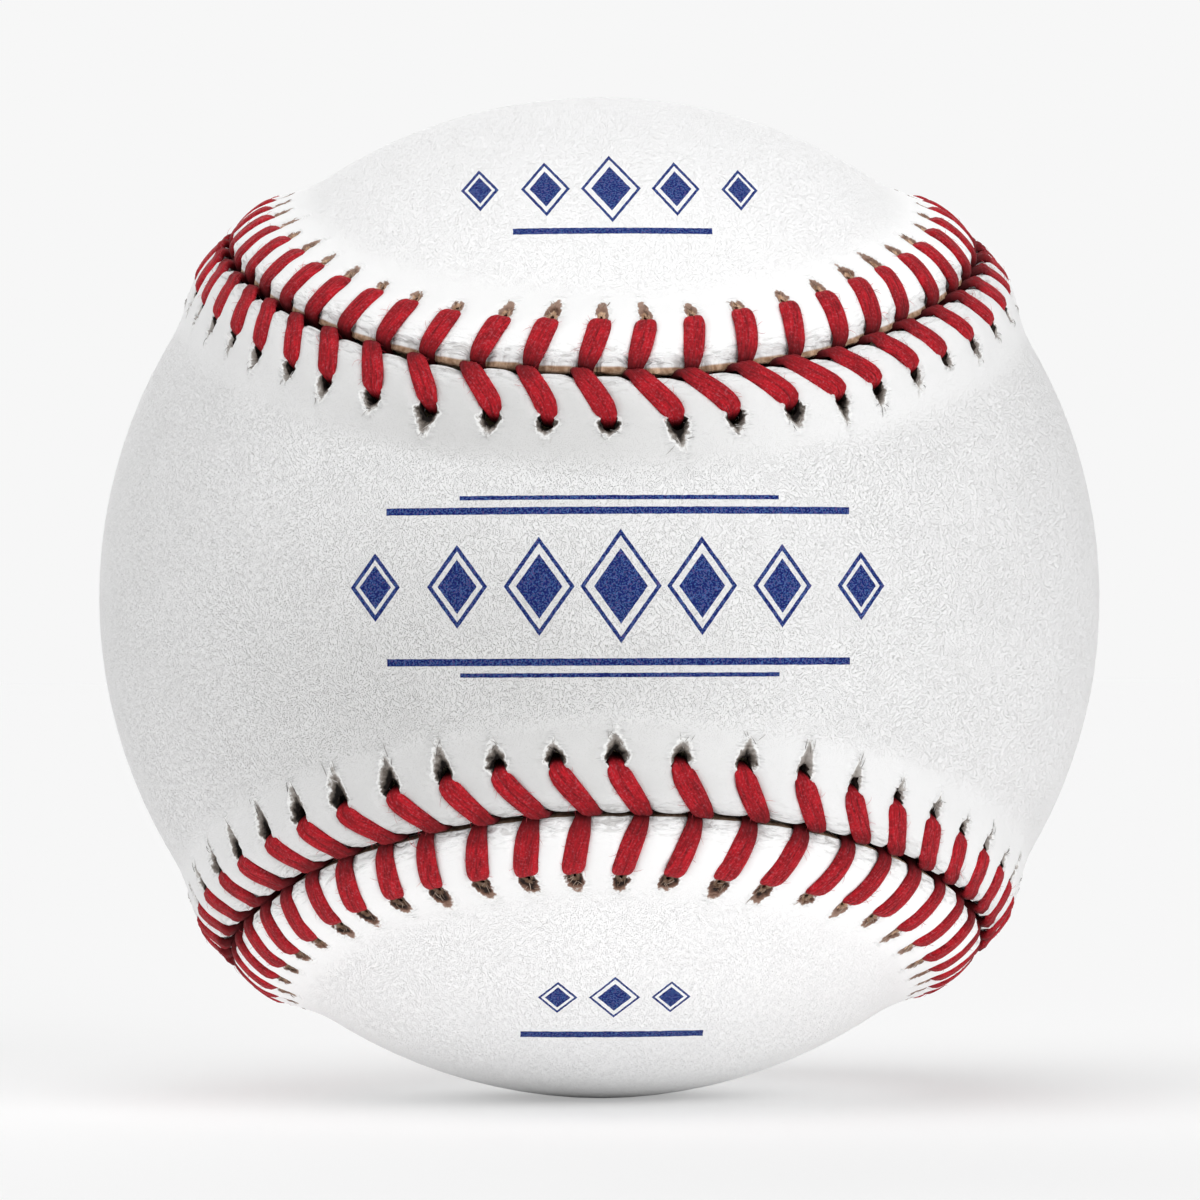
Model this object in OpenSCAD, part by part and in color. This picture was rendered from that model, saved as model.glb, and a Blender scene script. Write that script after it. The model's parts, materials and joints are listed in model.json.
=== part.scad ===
// Baseball: cork and rubber centre, four windings, a two-piece leather cover and its stitching.
// The origin is the ball's centre. The front panel's narrow waist faces -Y and its lobes reach
// round towards +X and -X. The back panel is the same cut, a quarter turn round Y, facing +Y.

/* [Cover] */
// Radius of the cover away from the seam
cover_r = 36.8; // [36:0.1:38]
// Thickness of the leather
leather_t = 1.3; // [1.1:0.05:1.5]
// Room between the cover and the coat that it is laid on
cover_seat_gap = 0.3; // [0.2:0.05:0.5]

/* [Seam] */
// Distance between the two seams over a panel's narrow waist, along the surface
waist_w = 30; // [28:0.5:32]
// Swing of the seam to each side of its mean course, along the surface
seam_swing = 14.2; // [13:0.1:15.4]
// Width of the open gap between the two panels' edges
seam_gap = 0.9; // [0.8:0.05:1.2]
// Height of the seam ridge's crest over the smooth cover
ridge_lift = 1.5; // [1.3:0.05:1.8]
// Distance of the crest from the seam line
crest_offset = 2; // [1.6:0.1:2.4]
// Distance from the far side of the holes to the foot of the ridge
ridge_foot = 2.6; // [2:0.1:3.2]

/* [Stitching] */
// Number of stitches along the seam, a multiple of four
stitch_count = 108; // [100:4:112]
// Distance of the near side of the stitch holes from the seam line
hole_offset = 3.6; // [3.4:0.1:4]
// Size of a stitch hole across the seam
hole_l = 2; // [1.6:0.1:2.2]
// Size of a stitch hole along the seam
hole_w = 1.7; // [1.6:0.05:1.8]
// Width of the thread where it lies flat on the leather
thread_w = 1.5; // [1.3:0.05:1.6]
// Width of the thread where the seam gap and the holes squeeze it
thread_neck_w = 0.85; // [0.75:0.05:0.9]
// Thickness of the thread
thread_t = 0.6; // [0.5:0.02:0.66]

/* [Centre] */
// Radius of the cork core
cork_r = 10.3; // [9.5:0.1:11]
// Wall of the two black rubber cups
black_rubber_t = 4; // [3.5:0.1:4.5]
// Thickness of the gasket between the black cups
gasket_t = 0.8; // [0.5:0.1:1.2]
// Wall of the two red rubber cups
red_rubber_t = 2.4; // [2:0.1:2.8]
// Thickness of the fine winding that finishes the centre
finishing_t = 0.45; // [0.3:0.05:0.8]
// Thickness of the adhesive coat over the windings
adhesive_t = 0.2; // [0.1:0.05:0.3]
// Room between one layer of the centre and the next
layer_gap = 0.05; // [0.03:0.01:0.08]

/* [Hidden] */

// Room between the thread and the leather or the coat that it passes
thread_gap = 0.07;
// Where each of the three wool windings ends, as a share of the depth that they fill together
wool_end_shares = [0.78, 0.877, 1];
// How much of its lift the ridge loses from its crest down to the seam gap
edge_drop_share = 0.25;
// Share of the ridge's foot at which the outer surface has one more row of points
foot_row_share = 0.5;
// Places along one stitch, as shares of the stitch pitch: the front panel's holes are at 0
back_hole_share = 0.12;
front_gap_share = 0.7;
back_gap_share = 0.34;
// Places of the crest between a hole and the seam gap, and the thread's width there
crest_run_share = 0.5;
hole_neck_share = 0.5;
// Place of a panel's inner ring points between two stitches
between_share = 0.5;
// Steps of the seam's length table, and of each line across a panel, which is an even number
seam_steps = 720;
across_steps = 6;
// Share of one step of the table over which the seam's direction is taken, to each side
tangent_step_share = 0.1;
// Corners of a thread's cross-section
thread_corners = [[-1, -1], [1, -1], [1, 1], [-1, 1]];
ball_fn = 96;

cover_in_r = cover_r - leather_t;
coat_r = cover_in_r - cover_seat_gap;
wound_r = coat_r - adhesive_t - layer_gap;
wool_r = wound_r - finishing_t - layer_gap;
black_in_r = cork_r + layer_gap;
black_out_r = black_in_r + black_rubber_t;
red_in_r = black_out_r + layer_gap;
red_out_r = red_in_r + red_rubber_t;
wool_in_r = red_out_r + layer_gap;
wool_depth = wool_r - wool_in_r;

function surface_angle(length) = length / cover_r * 180 / PI;
half_waist_angle = surface_angle(waist_w / 2);
swing_angle = surface_angle(seam_swing);
stitch_half = stitch_count / 2;
stitch_quarter = stitch_count / 4;
hole_far = hole_offset + hole_l;
ridge_end = hole_far + ridge_foot;
foot_row = hole_far + ridge_foot * foot_row_share;
gap_half = seam_gap / 2;

// The seam: one closed curve on the unit sphere, traced as the angle a goes through two full turns
function seam_colat(a) = 90 - (90 - half_waist_angle) * cos(a);
function seam_lon(a) = 90 + a / 2 + swing_angle * sin(2 * a);
function seam_dir(a) = [
    sin(seam_colat(a)) * cos(seam_lon(a)),
    -cos(seam_colat(a)),
    sin(seam_colat(a)) * sin(seam_lon(a))
];
function step_angle(i) = i * 720 / seam_steps;
function step_length(i) = norm(seam_dir(step_angle(i + 1)) - seam_dir(step_angle(i)));

// Length along the unit curve at each step, and the table that turns stitches into angles
seam_length_at = [for (i = 0, s = 0; i <= seam_steps; s = s + step_length(i), i = i + 1) s];
seam_length = seam_length_at[seam_steps];
stitch_table = [
    for (i = [0 : seam_steps]) [seam_length_at[i] / seam_length * stitch_count, step_angle(i)]
];
pitch = seam_length * cover_r / stitch_count;
function wrap(q) = q - stitch_count * floor(q / stitch_count);
function angle_at(q) = lookup(wrap(q), stitch_table);

// Direction of a point q stitches along the seam and u beside it, positive on the front panel
function unit(v) = v / norm(v);
tangent_step = step_angle(tangent_step_share);
function tangent(a) = unit(seam_dir(a + tangent_step) - seam_dir(a - tangent_step));
function beside(a, turn) = seam_dir(a) * cos(turn) + cross(seam_dir(a), tangent(a)) * sin(turn);
function dir_at(q, u) = beside(angle_at(q), surface_angle(u));

// Lift of the leather at a distance u from the seam line
function ridge_fall(u) = cos(90 * min(1, (u - crest_offset) / (ridge_end - crest_offset)));
function lift(u) = u > crest_offset
    ? ridge_lift * pow(ridge_fall(u), 2)
    : ridge_lift * (1 - edge_drop_share * pow((crest_offset - u) / crest_offset, 2));

// Two triangles for a four-sided face, clockwise from outside
function quad(a, b, c, d) = [[a, b, c], [a, c, d]];
function turned(f, flip) = flip ? [f[2], f[1], f[0]] : f;

// Cover panel

// Columns of points stand at both sides of each hole, in stitches from the panel's tip
col_count = 2 * stitch_count;
function col_at(c, shift) = floor(c / 2) + shift + (c % 2 == 0 ? -1 : 1) * hole_w / 2 / pitch;
function panel_row(tip, side, shift, u, r) = [
    for (c = [0 : col_count - 1]) dir_at(tip + col_at(c, shift), side * u) * r
];
function panel_ring(tip, side, r) = [
    for (c = [0 : stitch_count - 1]) dir_at(tip + c + between_share, side * ridge_end) * r
];
// Direction a share of the way from a to b, along the great circle
function blend_dir(a, b, share) =
    let (full = acos(a * b)) unit(a * sin((1 - share) * full) + b * sin(share * full));
function cross_line(tip, side, line, r) = [
    for (k = [1 : across_steps - 1])
        blend_dir(
            dir_at(tip + line + between_share, side * ridge_end),
            dir_at(tip - line - between_share, side * ridge_end),
            k / across_steps
        ) * r
];
line_count = stitch_half - 2;
function cross_lines(tip, side, r) = [
    for (line = [1 : line_count]) for (p = cross_line(tip, side, line, r)) p
];

outer_rows = [gap_half, crest_offset, hole_offset, hole_far, foot_row];
inner_rows = [gap_half, hole_offset, hole_far];
outer_row_count = len(outer_rows);
inner_row_count = len(inner_rows);
fill_count = line_count * (across_steps - 1);
inner_start = outer_row_count * col_count;
outer_ring_start = inner_start + inner_row_count * col_count;
inner_ring_start = outer_ring_start + stitch_count;
outer_fill_start = inner_ring_start + stitch_count;
inner_fill_start = outer_fill_start + fill_count;

function panel_points(tip, side, shift) = [
    for (u = outer_rows) for (p = panel_row(tip, side, shift, u, cover_r + lift(u))) p,
    for (u = inner_rows) for (p = panel_row(tip, side, shift, u, cover_in_r + lift(u))) p,
    for (p = panel_ring(tip, side, cover_r)) p,
    for (p = panel_ring(tip, side, cover_in_r)) p,
    for (p = cross_lines(tip, side, cover_r)) p,
    for (p = cross_lines(tip, side, cover_in_r)) p
];

function col(start, row, c) = start + row * col_count + (c + col_count) % col_count;
function outer(row, c) = col(0, row, c);
function inner(row, c) = col(inner_start, row, c);
function ring(start, c) = start + (c + stitch_count) % stitch_count;

// Faces between two rows of one surface, without the holes where skip_holes is true
function row_faces(start, row, skip_holes) = [
    for (c = [0 : col_count - 1])
        if (!(skip_holes && c % 2 == 0))
            for (f = quad(
                col(start, row, c),
                col(start, row + 1, c),
                col(start, row + 1, c + 1),
                col(start, row, c + 1)
            )) f
];
// Faces from a surface's last row to its ring, which has one point for each stitch
function ring_faces(start, row, ring_start) = [
    for (c = [0 : stitch_count - 1])
        for (f = [
            [col(start, row, 2 * c), ring(ring_start, c - 1), col(start, row, 2 * c + 1)],
            [col(start, row, 2 * c + 1), ring(ring_start, c - 1), ring(ring_start, c)],
            [col(start, row, 2 * c + 1), ring(ring_start, c), col(start, row, 2 * c + 2)]
        ]) f
];
// A point of the line across the panel: its ends are points of the ring
function line_point(ring_start, fill_start, line, k) =
    k == 0 ? ring(ring_start, line)
    : k == across_steps ? ring(ring_start, -1 - line)
    : fill_start + (line - 1) * (across_steps - 1) + k - 1;
function fill_faces(ring_start, fill_start) = [
    for (line = [1 : line_count - 1])
        for (k = [0 : across_steps - 1])
            for (f = quad(
                line_point(ring_start, fill_start, line, k),
                line_point(ring_start, fill_start, line, k + 1),
                line_point(ring_start, fill_start, line + 1, k + 1),
                line_point(ring_start, fill_start, line + 1, k)
            )) f
];
// Fans at the two tips, where the first and last lines are single edges
across_mid = across_steps / 2;
function fan_faces(ring_start, fill_start, line, near, far, flip) = [
    for (k = [0 : across_steps - 1])
        turned([
            k < across_mid ? near : far,
            line_point(ring_start, fill_start, line, k + 1),
            line_point(ring_start, fill_start, line, k)
        ], flip),
    turned([near, far, line_point(ring_start, fill_start, line, across_mid)], flip)
];
function tip_faces(ring_start, fill_start) = concat(
    fan_faces(
        ring_start, fill_start, 1,
        ring(ring_start, 0), ring(ring_start, -1), false
    ),
    fan_faces(
        ring_start, fill_start, line_count,
        ring(ring_start, stitch_half - 1), ring(ring_start, stitch_half), true
    )
);
function surface_faces(start, rows, hole_row, ring_start, fill_start) = concat(
    [for (row = [0 : rows - 2]) for (f = row_faces(start, row, row == hole_row)) f],
    ring_faces(start, rows - 1, ring_start),
    fill_faces(ring_start, fill_start),
    tip_faces(ring_start, fill_start)
);
outer_hole_row = search(hole_offset, outer_rows)[0];
inner_hole_row = search(hole_offset, inner_rows)[0];
edge_faces = [
    for (c = [0 : col_count - 1])
        for (f = quad(outer(0, c), outer(0, c + 1), inner(0, c + 1), inner(0, c))) f
];
hole_faces = [
    for (j = [0 : stitch_count - 1])
        let (
            a = 2 * j,
            b = 2 * j + 1,
            o = [
                outer(outer_hole_row, a), outer(outer_hole_row, b),
                outer(outer_hole_row + 1, b), outer(outer_hole_row + 1, a)
            ],
            i = [
                inner(inner_hole_row, a), inner(inner_hole_row, b),
                inner(inner_hole_row + 1, b), inner(inner_hole_row + 1, a)
            ]
        )
        for (k = [0 : len(o) - 1])
            let (next = (k + 1) % len(o))
            for (f = quad(o[k], i[k], i[next], o[next])) f
];
panel_faces = concat(
    surface_faces(0, outer_row_count, outer_hole_row, outer_ring_start, outer_fill_start),
    [
        for (f = surface_faces(
            inner_start, inner_row_count, inner_hole_row, inner_ring_start, inner_fill_start
        )) turned(f, true)
    ],
    edge_faces,
    hole_faces
);

// side is 1 for the front panel and -1 for the back one, and tip is the stitch at its first tip
module cover_panel(tip, side, shift) {
    color("#f2f1ee")
        polyhedron(
            points = panel_points(tip, side, shift),
            faces = [for (f = panel_faces) turned(f, side < 0)]
        );
}
module cover_panel_front() { cover_panel(-stitch_quarter, 1, 0); }
module cover_panel_back() { cover_panel(0, -1, back_hole_share); }

// Thread

// Each leg comes up through a hole, crosses the ridge, goes down the seam gap and passes
// under the other panel to that panel's next hole. Five rings of four points make one leg.
thread_half = thread_t / 2;
under_r = coat_r + thread_gap + thread_half;
hole_run = hole_offset + thread_gap + thread_half;
hole_top_r = cover_r + lift(hole_offset) + thread_gap + thread_half;
crest_r = cover_r + ridge_lift + thread_gap + thread_half;
gap_top_r = cover_r + lift(gap_half) + thread_gap + thread_half;
hole_thread_w = thread_neck_w + (thread_w - thread_neck_w) * hole_neck_share;

// One ring: q along the seam, u beside it, r from the centre, w wide, and the half thickness
// laid out along the mitre as [beside, outwards]. The flat thread turns its other face out on
// the back panel, so the corners there swap over.
function thread_ring(q, side, u, r, w, lean) = [
    for (corner = thread_corners)
        let (outwards = corner[1] * side)
        dir_at(q + corner[0] * w / 2 / pitch, side * (u + outwards * lean[0]))
            * (r + outwards * lean[1])
];
function leg_rings(hole_q, gap_q, side) = [
    thread_ring(hole_q, side, hole_run, under_r, hole_thread_w, [thread_half, -thread_half]),
    thread_ring(hole_q, side, hole_run, hole_top_r, hole_thread_w, [thread_half, thread_half]),
    thread_ring(
        hole_q + (gap_q - hole_q) * crest_run_share,
        side, crest_offset, crest_r, thread_w, [0, thread_half]
    ),
    thread_ring(gap_q, side, 0, gap_top_r, thread_neck_w, [-thread_half, thread_half]),
    thread_ring(gap_q, side, 0, under_r, thread_neck_w, [-thread_half, thread_half])
];
function thread_rings(first) = [
    for (j = [0 : stitch_count - 1])
        let (side = (j + first) % 2 == 0 ? 1 : -1)
        for (r = leg_rings(
            j + (side > 0 ? 0 : back_hole_share),
            j + (side > 0 ? front_gap_share : back_gap_share),
            side
        )) r
];
ring_points = len(thread_corners);
function ring_at(i, k) = ring_points * i + k % ring_points;
module seam_thread(first) {
    rings = thread_rings(first);
    last = len(rings) - 1;
    color("#b01e28")
        polyhedron(
            points = [for (r = rings) for (p = r) p],
            faces = [
                for (f = quad(0, 1, 2, 3)) f,
                for (i = [0 : last - 1])
                    for (k = [0 : ring_points - 1])
                        for (f = quad(
                            ring_at(i, k), ring_at(i + 1, k),
                            ring_at(i + 1, k + 1), ring_at(i, k + 1)
                        )) f,
                for (f = quad(
                    ring_at(last, 3), ring_at(last, 2), ring_at(last, 1), ring_at(last, 0)
                )) f
            ]
        );
}
module seam_thread_first_needle() { seam_thread(0); }
module seam_thread_second_needle() { seam_thread(1); }

// Centre

module shell(r_in, r_out) {
    difference() {
        sphere(r = r_out, $fn = ball_fn);
        sphere(r = r_in, $fn = ball_fn);
    }
}
// A half shell above z = 0, its rim raised by rim
module cup(r_in, r_out, rim) {
    rotate_extrude($fn = ball_fn)
        intersection() {
            difference() {
                circle(r = r_out, $fn = ball_fn);
                circle(r = r_in, $fn = ball_fn);
            }
            translate([0, rim]) square([r_out, r_out]);
        }
}
module cork_core() { color("#a9773f") sphere(r = cork_r, $fn = ball_fn); }

black_rim = gasket_t / 2 + layer_gap;
module black_rubber_cup_upper() { color("#1d1d1f") cup(black_in_r, black_out_r, black_rim); }
module black_rubber_cup_lower() {
    color("#1d1d1f") mirror([0, 0, 1]) cup(black_in_r, black_out_r, black_rim);
}
module red_rubber_gasket() {
    color("#a3271f")
        rotate_extrude($fn = ball_fn)
            translate([black_in_r, -gasket_t / 2])
                square([black_rubber_t - layer_gap, gasket_t]);
}
red_rim = layer_gap / 2;
module red_rubber_cup_left() {
    color("#b5342a") rotate([0, -90, 0]) cup(red_in_r, red_out_r, red_rim);
}
module red_rubber_cup_right() {
    color("#b5342a") rotate([0, 90, 0]) cup(red_in_r, red_out_r, red_rim);
}

// Each wool winding starts where the one below it ends
function wool_end(i) = wool_in_r + wool_depth * wool_end_shares[i];
function wool_start(i) = i == 0 ? wool_in_r : wool_end(i - 1) + layer_gap;
module wool_winding(i) { shell(wool_start(i), wool_end(i)); }
module grey_four_ply_winding() { color("#8b8a86") wool_winding(0); }
module white_three_ply_winding() { color("#e9e6dc") wool_winding(1); }
module grey_three_ply_winding() { color("#96948f") wool_winding(2); }
module white_finishing_winding() { color("#f1efe8") shell(wound_r - finishing_t, wound_r); }
module adhesive_coat() { color("#d9cfae") shell(coat_r - adhesive_t, coat_r); }

cork_core();
black_rubber_cup_upper();
black_rubber_cup_lower();
red_rubber_gasket();
red_rubber_cup_left();
red_rubber_cup_right();
grey_four_ply_winding();
white_three_ply_winding();
grey_three_ply_winding();
white_finishing_winding();
adhesive_coat();
cover_panel_front();
cover_panel_back();
seam_thread_first_needle();
seam_thread_second_needle();
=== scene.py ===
"""Looks of a baseball: leather cover, red herringbone stitching and the wound centre inside."""

import json
import logging
import math
from collections.abc import Iterable
from dataclasses import dataclass, field
from enum import Enum
from itertools import pairwise
from typing import Any

import bmesh
import bpy
import numpy as np
from mathutils import Matrix, Vector

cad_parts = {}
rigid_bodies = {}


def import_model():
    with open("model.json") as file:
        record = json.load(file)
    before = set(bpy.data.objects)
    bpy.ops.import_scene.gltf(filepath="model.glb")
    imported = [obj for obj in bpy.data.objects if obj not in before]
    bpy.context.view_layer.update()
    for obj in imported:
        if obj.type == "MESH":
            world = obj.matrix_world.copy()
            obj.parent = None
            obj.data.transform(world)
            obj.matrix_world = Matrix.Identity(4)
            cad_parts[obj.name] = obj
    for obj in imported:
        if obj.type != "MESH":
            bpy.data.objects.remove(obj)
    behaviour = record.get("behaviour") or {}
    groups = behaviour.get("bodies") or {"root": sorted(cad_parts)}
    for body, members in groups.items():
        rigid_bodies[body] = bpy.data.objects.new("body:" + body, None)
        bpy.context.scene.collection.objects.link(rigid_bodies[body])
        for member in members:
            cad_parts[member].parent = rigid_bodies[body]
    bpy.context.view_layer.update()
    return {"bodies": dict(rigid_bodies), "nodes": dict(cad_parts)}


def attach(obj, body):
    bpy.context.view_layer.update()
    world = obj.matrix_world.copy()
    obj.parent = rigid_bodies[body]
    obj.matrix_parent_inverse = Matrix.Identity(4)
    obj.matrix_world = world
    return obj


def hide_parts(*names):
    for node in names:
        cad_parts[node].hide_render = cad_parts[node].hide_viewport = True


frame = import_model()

log = logging.getLogger("baseball")

MM = 0.001
BODY = next(iter(frame["bodies"]))

# A smooth course that is given at a few places along the seam: (stitch, value) pairs
Course = tuple[tuple[float, float], ...]
Face = tuple[int, ...]

# Where a ramp of a finish starts and ends, and what it gives there if that isn't 0 and 1
Ramp = tuple[float, ...]

Socket = bpy.types.NodeSocket

# Settings of a node that mixes two colours, and of one that rises smoothly
RGBA = {"out": 2, "data_type": "RGBA"}
EASED = {"interpolation_type": "SMOOTHSTEP"}

# Size of the noise's table, and odd numbers that scatter neighbouring cells over it
NOISE_TABLE = 4096
SCATTER = (73856093, 19349663, 83492791)


# Small tools


def colour(hex_value: str) -> tuple[float, float, float, float]:
    """Turn an sRGB hex colour into Blender's linear colour.

    Args:
        hex_value: Six hex digits after a hash sign.

    Returns:
        Linear red, green and blue, and an alpha of 1.
    """
    parts = [int(hex_value[i : i + 2], 16) / 255 for i in (1, 3, 5)]
    linear = [c / 12.92 if c <= 0.04045 else ((c + 0.055) / 1.055) ** 2.4 for c in parts]
    return (*linear, 1.0)


def smooth(low: float, high: float, value: np.ndarray) -> np.ndarray:
    """Rise smoothly from 0 at one value to 1 at another.

    Args:
        low: Value at which the result is 0.
        high: Value at which the result is 1.
        value: Where to take it.

    Returns:
        Numbers from 0 to 1.
    """
    t = np.clip((value - low) / (high - low), 0.0, 1.0)
    return t * t * (3 - 2 * t)


def unit(vectors: np.ndarray) -> np.ndarray:
    """Bring vectors to a length of 1."""
    return vectors / np.linalg.norm(vectors, axis=-1, keepdims=True)


def lattice_noise(points: np.ndarray, size: float, seed: int) -> np.ndarray:
    """Smooth random field that is the same on every run.

    Args:
        points: Places, in millimetres, as rows of three.
        size: Distance between one bump and the next, in millimetres.
        seed: Number that picks the field.

    Returns:
        One number from -1 to 1 for each place.
    """
    table = np.random.default_rng(seed).uniform(-1, 1, NOISE_TABLE)
    at = points / size
    cell = np.floor(at).astype(np.int64)
    part = at - cell
    part = part * part * (3 - 2 * part)
    total = np.zeros(len(points))
    for corner in np.ndindex(2, 2, 2):
        x, y, z = ((cell + np.array(corner)) * SCATTER).T
        picked = table[(x ^ y ^ z) & (NOISE_TABLE - 1)]
        weight = np.prod(np.where(np.array(corner) == 1, part, 1 - part), axis=1)
        total += picked * weight
    return total


def strip(
    one: np.ndarray, two: np.ndarray, flip: bool = False, closed: bool = True
) -> list[Face]:
    """Join two rows of points with faces.

    Args:
        one: Point numbers of the first row.
        two: Point numbers of the second row.
        flip: Whether the faces look the other way.
        closed: Whether the last points join the first.

    Returns:
        Faces, each with two points of the first row and two of the second.
    """
    next_one, next_two = np.roll(one, -1), np.roll(two, -1)
    corners = (one, two, next_two, next_one) if flip else (one, next_one, next_two, two)
    faces = np.column_stack(corners)
    return [tuple(face) for face in (faces if closed else faces[:-1]).tolist()]


def tube(rings: np.ndarray) -> list[Face]:
    """Join rings of points to a tube that is closed at both ends.

    Args:
        rings: Point numbers, one row for each ring.

    Returns:
        Faces.
    """
    faces = [tuple(rings[0, ::-1].tolist())]
    for one, two in pairwise(rings):
        faces += strip(one, two)
    return [*faces, tuple(rings[-1].tolist())]


def make_piece(
    name: str,
    points: np.ndarray,
    faces: list[Face],
    marks: dict[str, np.ndarray] | None = None,
    sharp_degrees: float = 180.0,
) -> bpy.types.Object:
    """Make a mesh piece that rides on the ball.

    Args:
        name: Name of the piece.
        points: Places of its points, in millimetres.
        faces: Point numbers of each face.
        marks: Values for each point, kept as attributes for the finish.
        sharp_degrees: Edges that turn more than this stay sharp.

    Returns:
        The piece, at the origin.
    """
    mesh = bpy.data.meshes.new(name)
    mesh.from_pydata((points * MM).tolist(), [], faces)
    for mark, values in (marks or {}).items():
        kind, key = ("FLOAT", "value") if values.ndim == 1 else ("FLOAT_VECTOR", "vector")
        mesh.attributes.new(mark, kind, "POINT").data.foreach_set(key, values.ravel())
    piece = bpy.data.objects.new(name, mesh)
    bpy.context.scene.collection.objects.link(piece)
    bpy.ops.object.select_all(action="DESELECT")
    piece.select_set(True)
    bpy.context.view_layer.objects.active = piece
    bpy.ops.object.shade_smooth_by_angle(angle=math.radians(sharp_degrees))
    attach(piece, BODY)
    return piece


def outward(piece: bpy.types.Object) -> bpy.types.Object:
    """Turn a closed piece's faces outward where its volume comes out negative.

    Args:
        piece: The piece.

    Returns:
        The same piece.
    """
    work = bmesh.new()
    work.from_mesh(piece.data)
    if work.calc_volume(signed=True) < 0:
        bmesh.ops.reverse_faces(work, faces=work.faces)
        work.to_mesh(piece.data)
        log.info("%s: faces turned outward", piece.name)
    work.free()
    return piece


class Nodes:
    """A node tree that is built one node at a time."""

    def __init__(self, owner: bpy.types.Material | bpy.types.World) -> None:
        """Clear the owner's nodes.

        Args:
            owner: Material or world that the nodes belong to.
        """
        owner.use_nodes = True
        self.owner = owner
        self.tree = owner.node_tree
        self.tree.nodes.clear()

    def add(
        self, kind: str, inputs: dict | tuple = (), out: int | str = 0, **settings: Any
    ) -> Socket | bpy.types.Node:
        """Add one node with its settings and links.

        Args:
            kind: Node type without the ShaderNode in front.
            inputs: Values or outputs to link from, in the sockets' order or by name or number.
            out: Output to return.
            **settings: Properties of the node itself.

        Returns:
            The chosen output socket, or the node where it has no outputs.
        """
        made = self.tree.nodes.new("ShaderNode" + kind)
        for key, value in settings.items():
            setattr(made, key, value)
        for socket, value in inputs.items() if isinstance(inputs, dict) else enumerate(inputs):
            if isinstance(value, Socket):
                self.tree.links.new(value, made.inputs[socket])
            else:
                made.inputs[socket].default_value = value
        return made.outputs[out] if len(made.outputs) else made

    def millimetres(self) -> Socket:
        """Place on the piece, in millimetres."""
        place = self.add("TexCoord", out="Object")
        return self.add("VectorMath", {0: place, "Scale": 1 / MM}, operation="SCALE")

    def apart(self, one: Socket | float, two: Socket | float) -> Socket:
        """Distance between two values."""
        gap = self.add("Math", (one, two), operation="SUBTRACT")
        return self.add("Math", (gap,), operation="ABSOLUTE")

    def finish(
        self, base: Socket, rough: float, specular: float, bump: Socket | None = None
    ) -> bpy.types.Material:
        """End a finish with its surface.

        Args:
            base: Its colour.
            rough: Its roughness.
            specular: How much it mirrors.
            bump: The direction that its bumps face.

        Returns:
            The material.
        """
        surface = {"Base Color": base, "Roughness": rough, "Specular IOR Level": specular}
        if bump:
            surface["Normal"] = bump
        self.add("OutputMaterial", {"Surface": self.add("BsdfPrincipled", surface)})
        return self.owner


# The ball, its seam and the hand that stitched it


class Side(Enum):
    """The two cover panels, with the sign of their distance from the seam."""

    FRONT = 1
    BACK = -1


@dataclass(frozen=True)
class Ball:
    """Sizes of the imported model, in millimetres."""

    cover_r: float = 36.8
    leather_t: float = 1.3
    coat_r: float = 35.2
    waist_w: float = 30.0
    seam_swing: float = 14.2
    stitch_count: int = 108
    thread_t: float = 0.6
    thread_gap: float = 0.07


def follow(course: Course, q: np.ndarray, period: float) -> np.ndarray:
    """Value of a course at places along the seam, with its corners rounded.

    Args:
        course: The course's own places and values.
        q: Places in stitches.
        period: Stitches in one round.

    Returns:
        Values.
    """
    places, values = np.array(course).T
    parts = ((-0.5, 0.25), (0.0, 0.5), (0.5, 0.25))
    return sum(share * np.interp(q + step, places, values, period=period) for step, share in parts)


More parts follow.
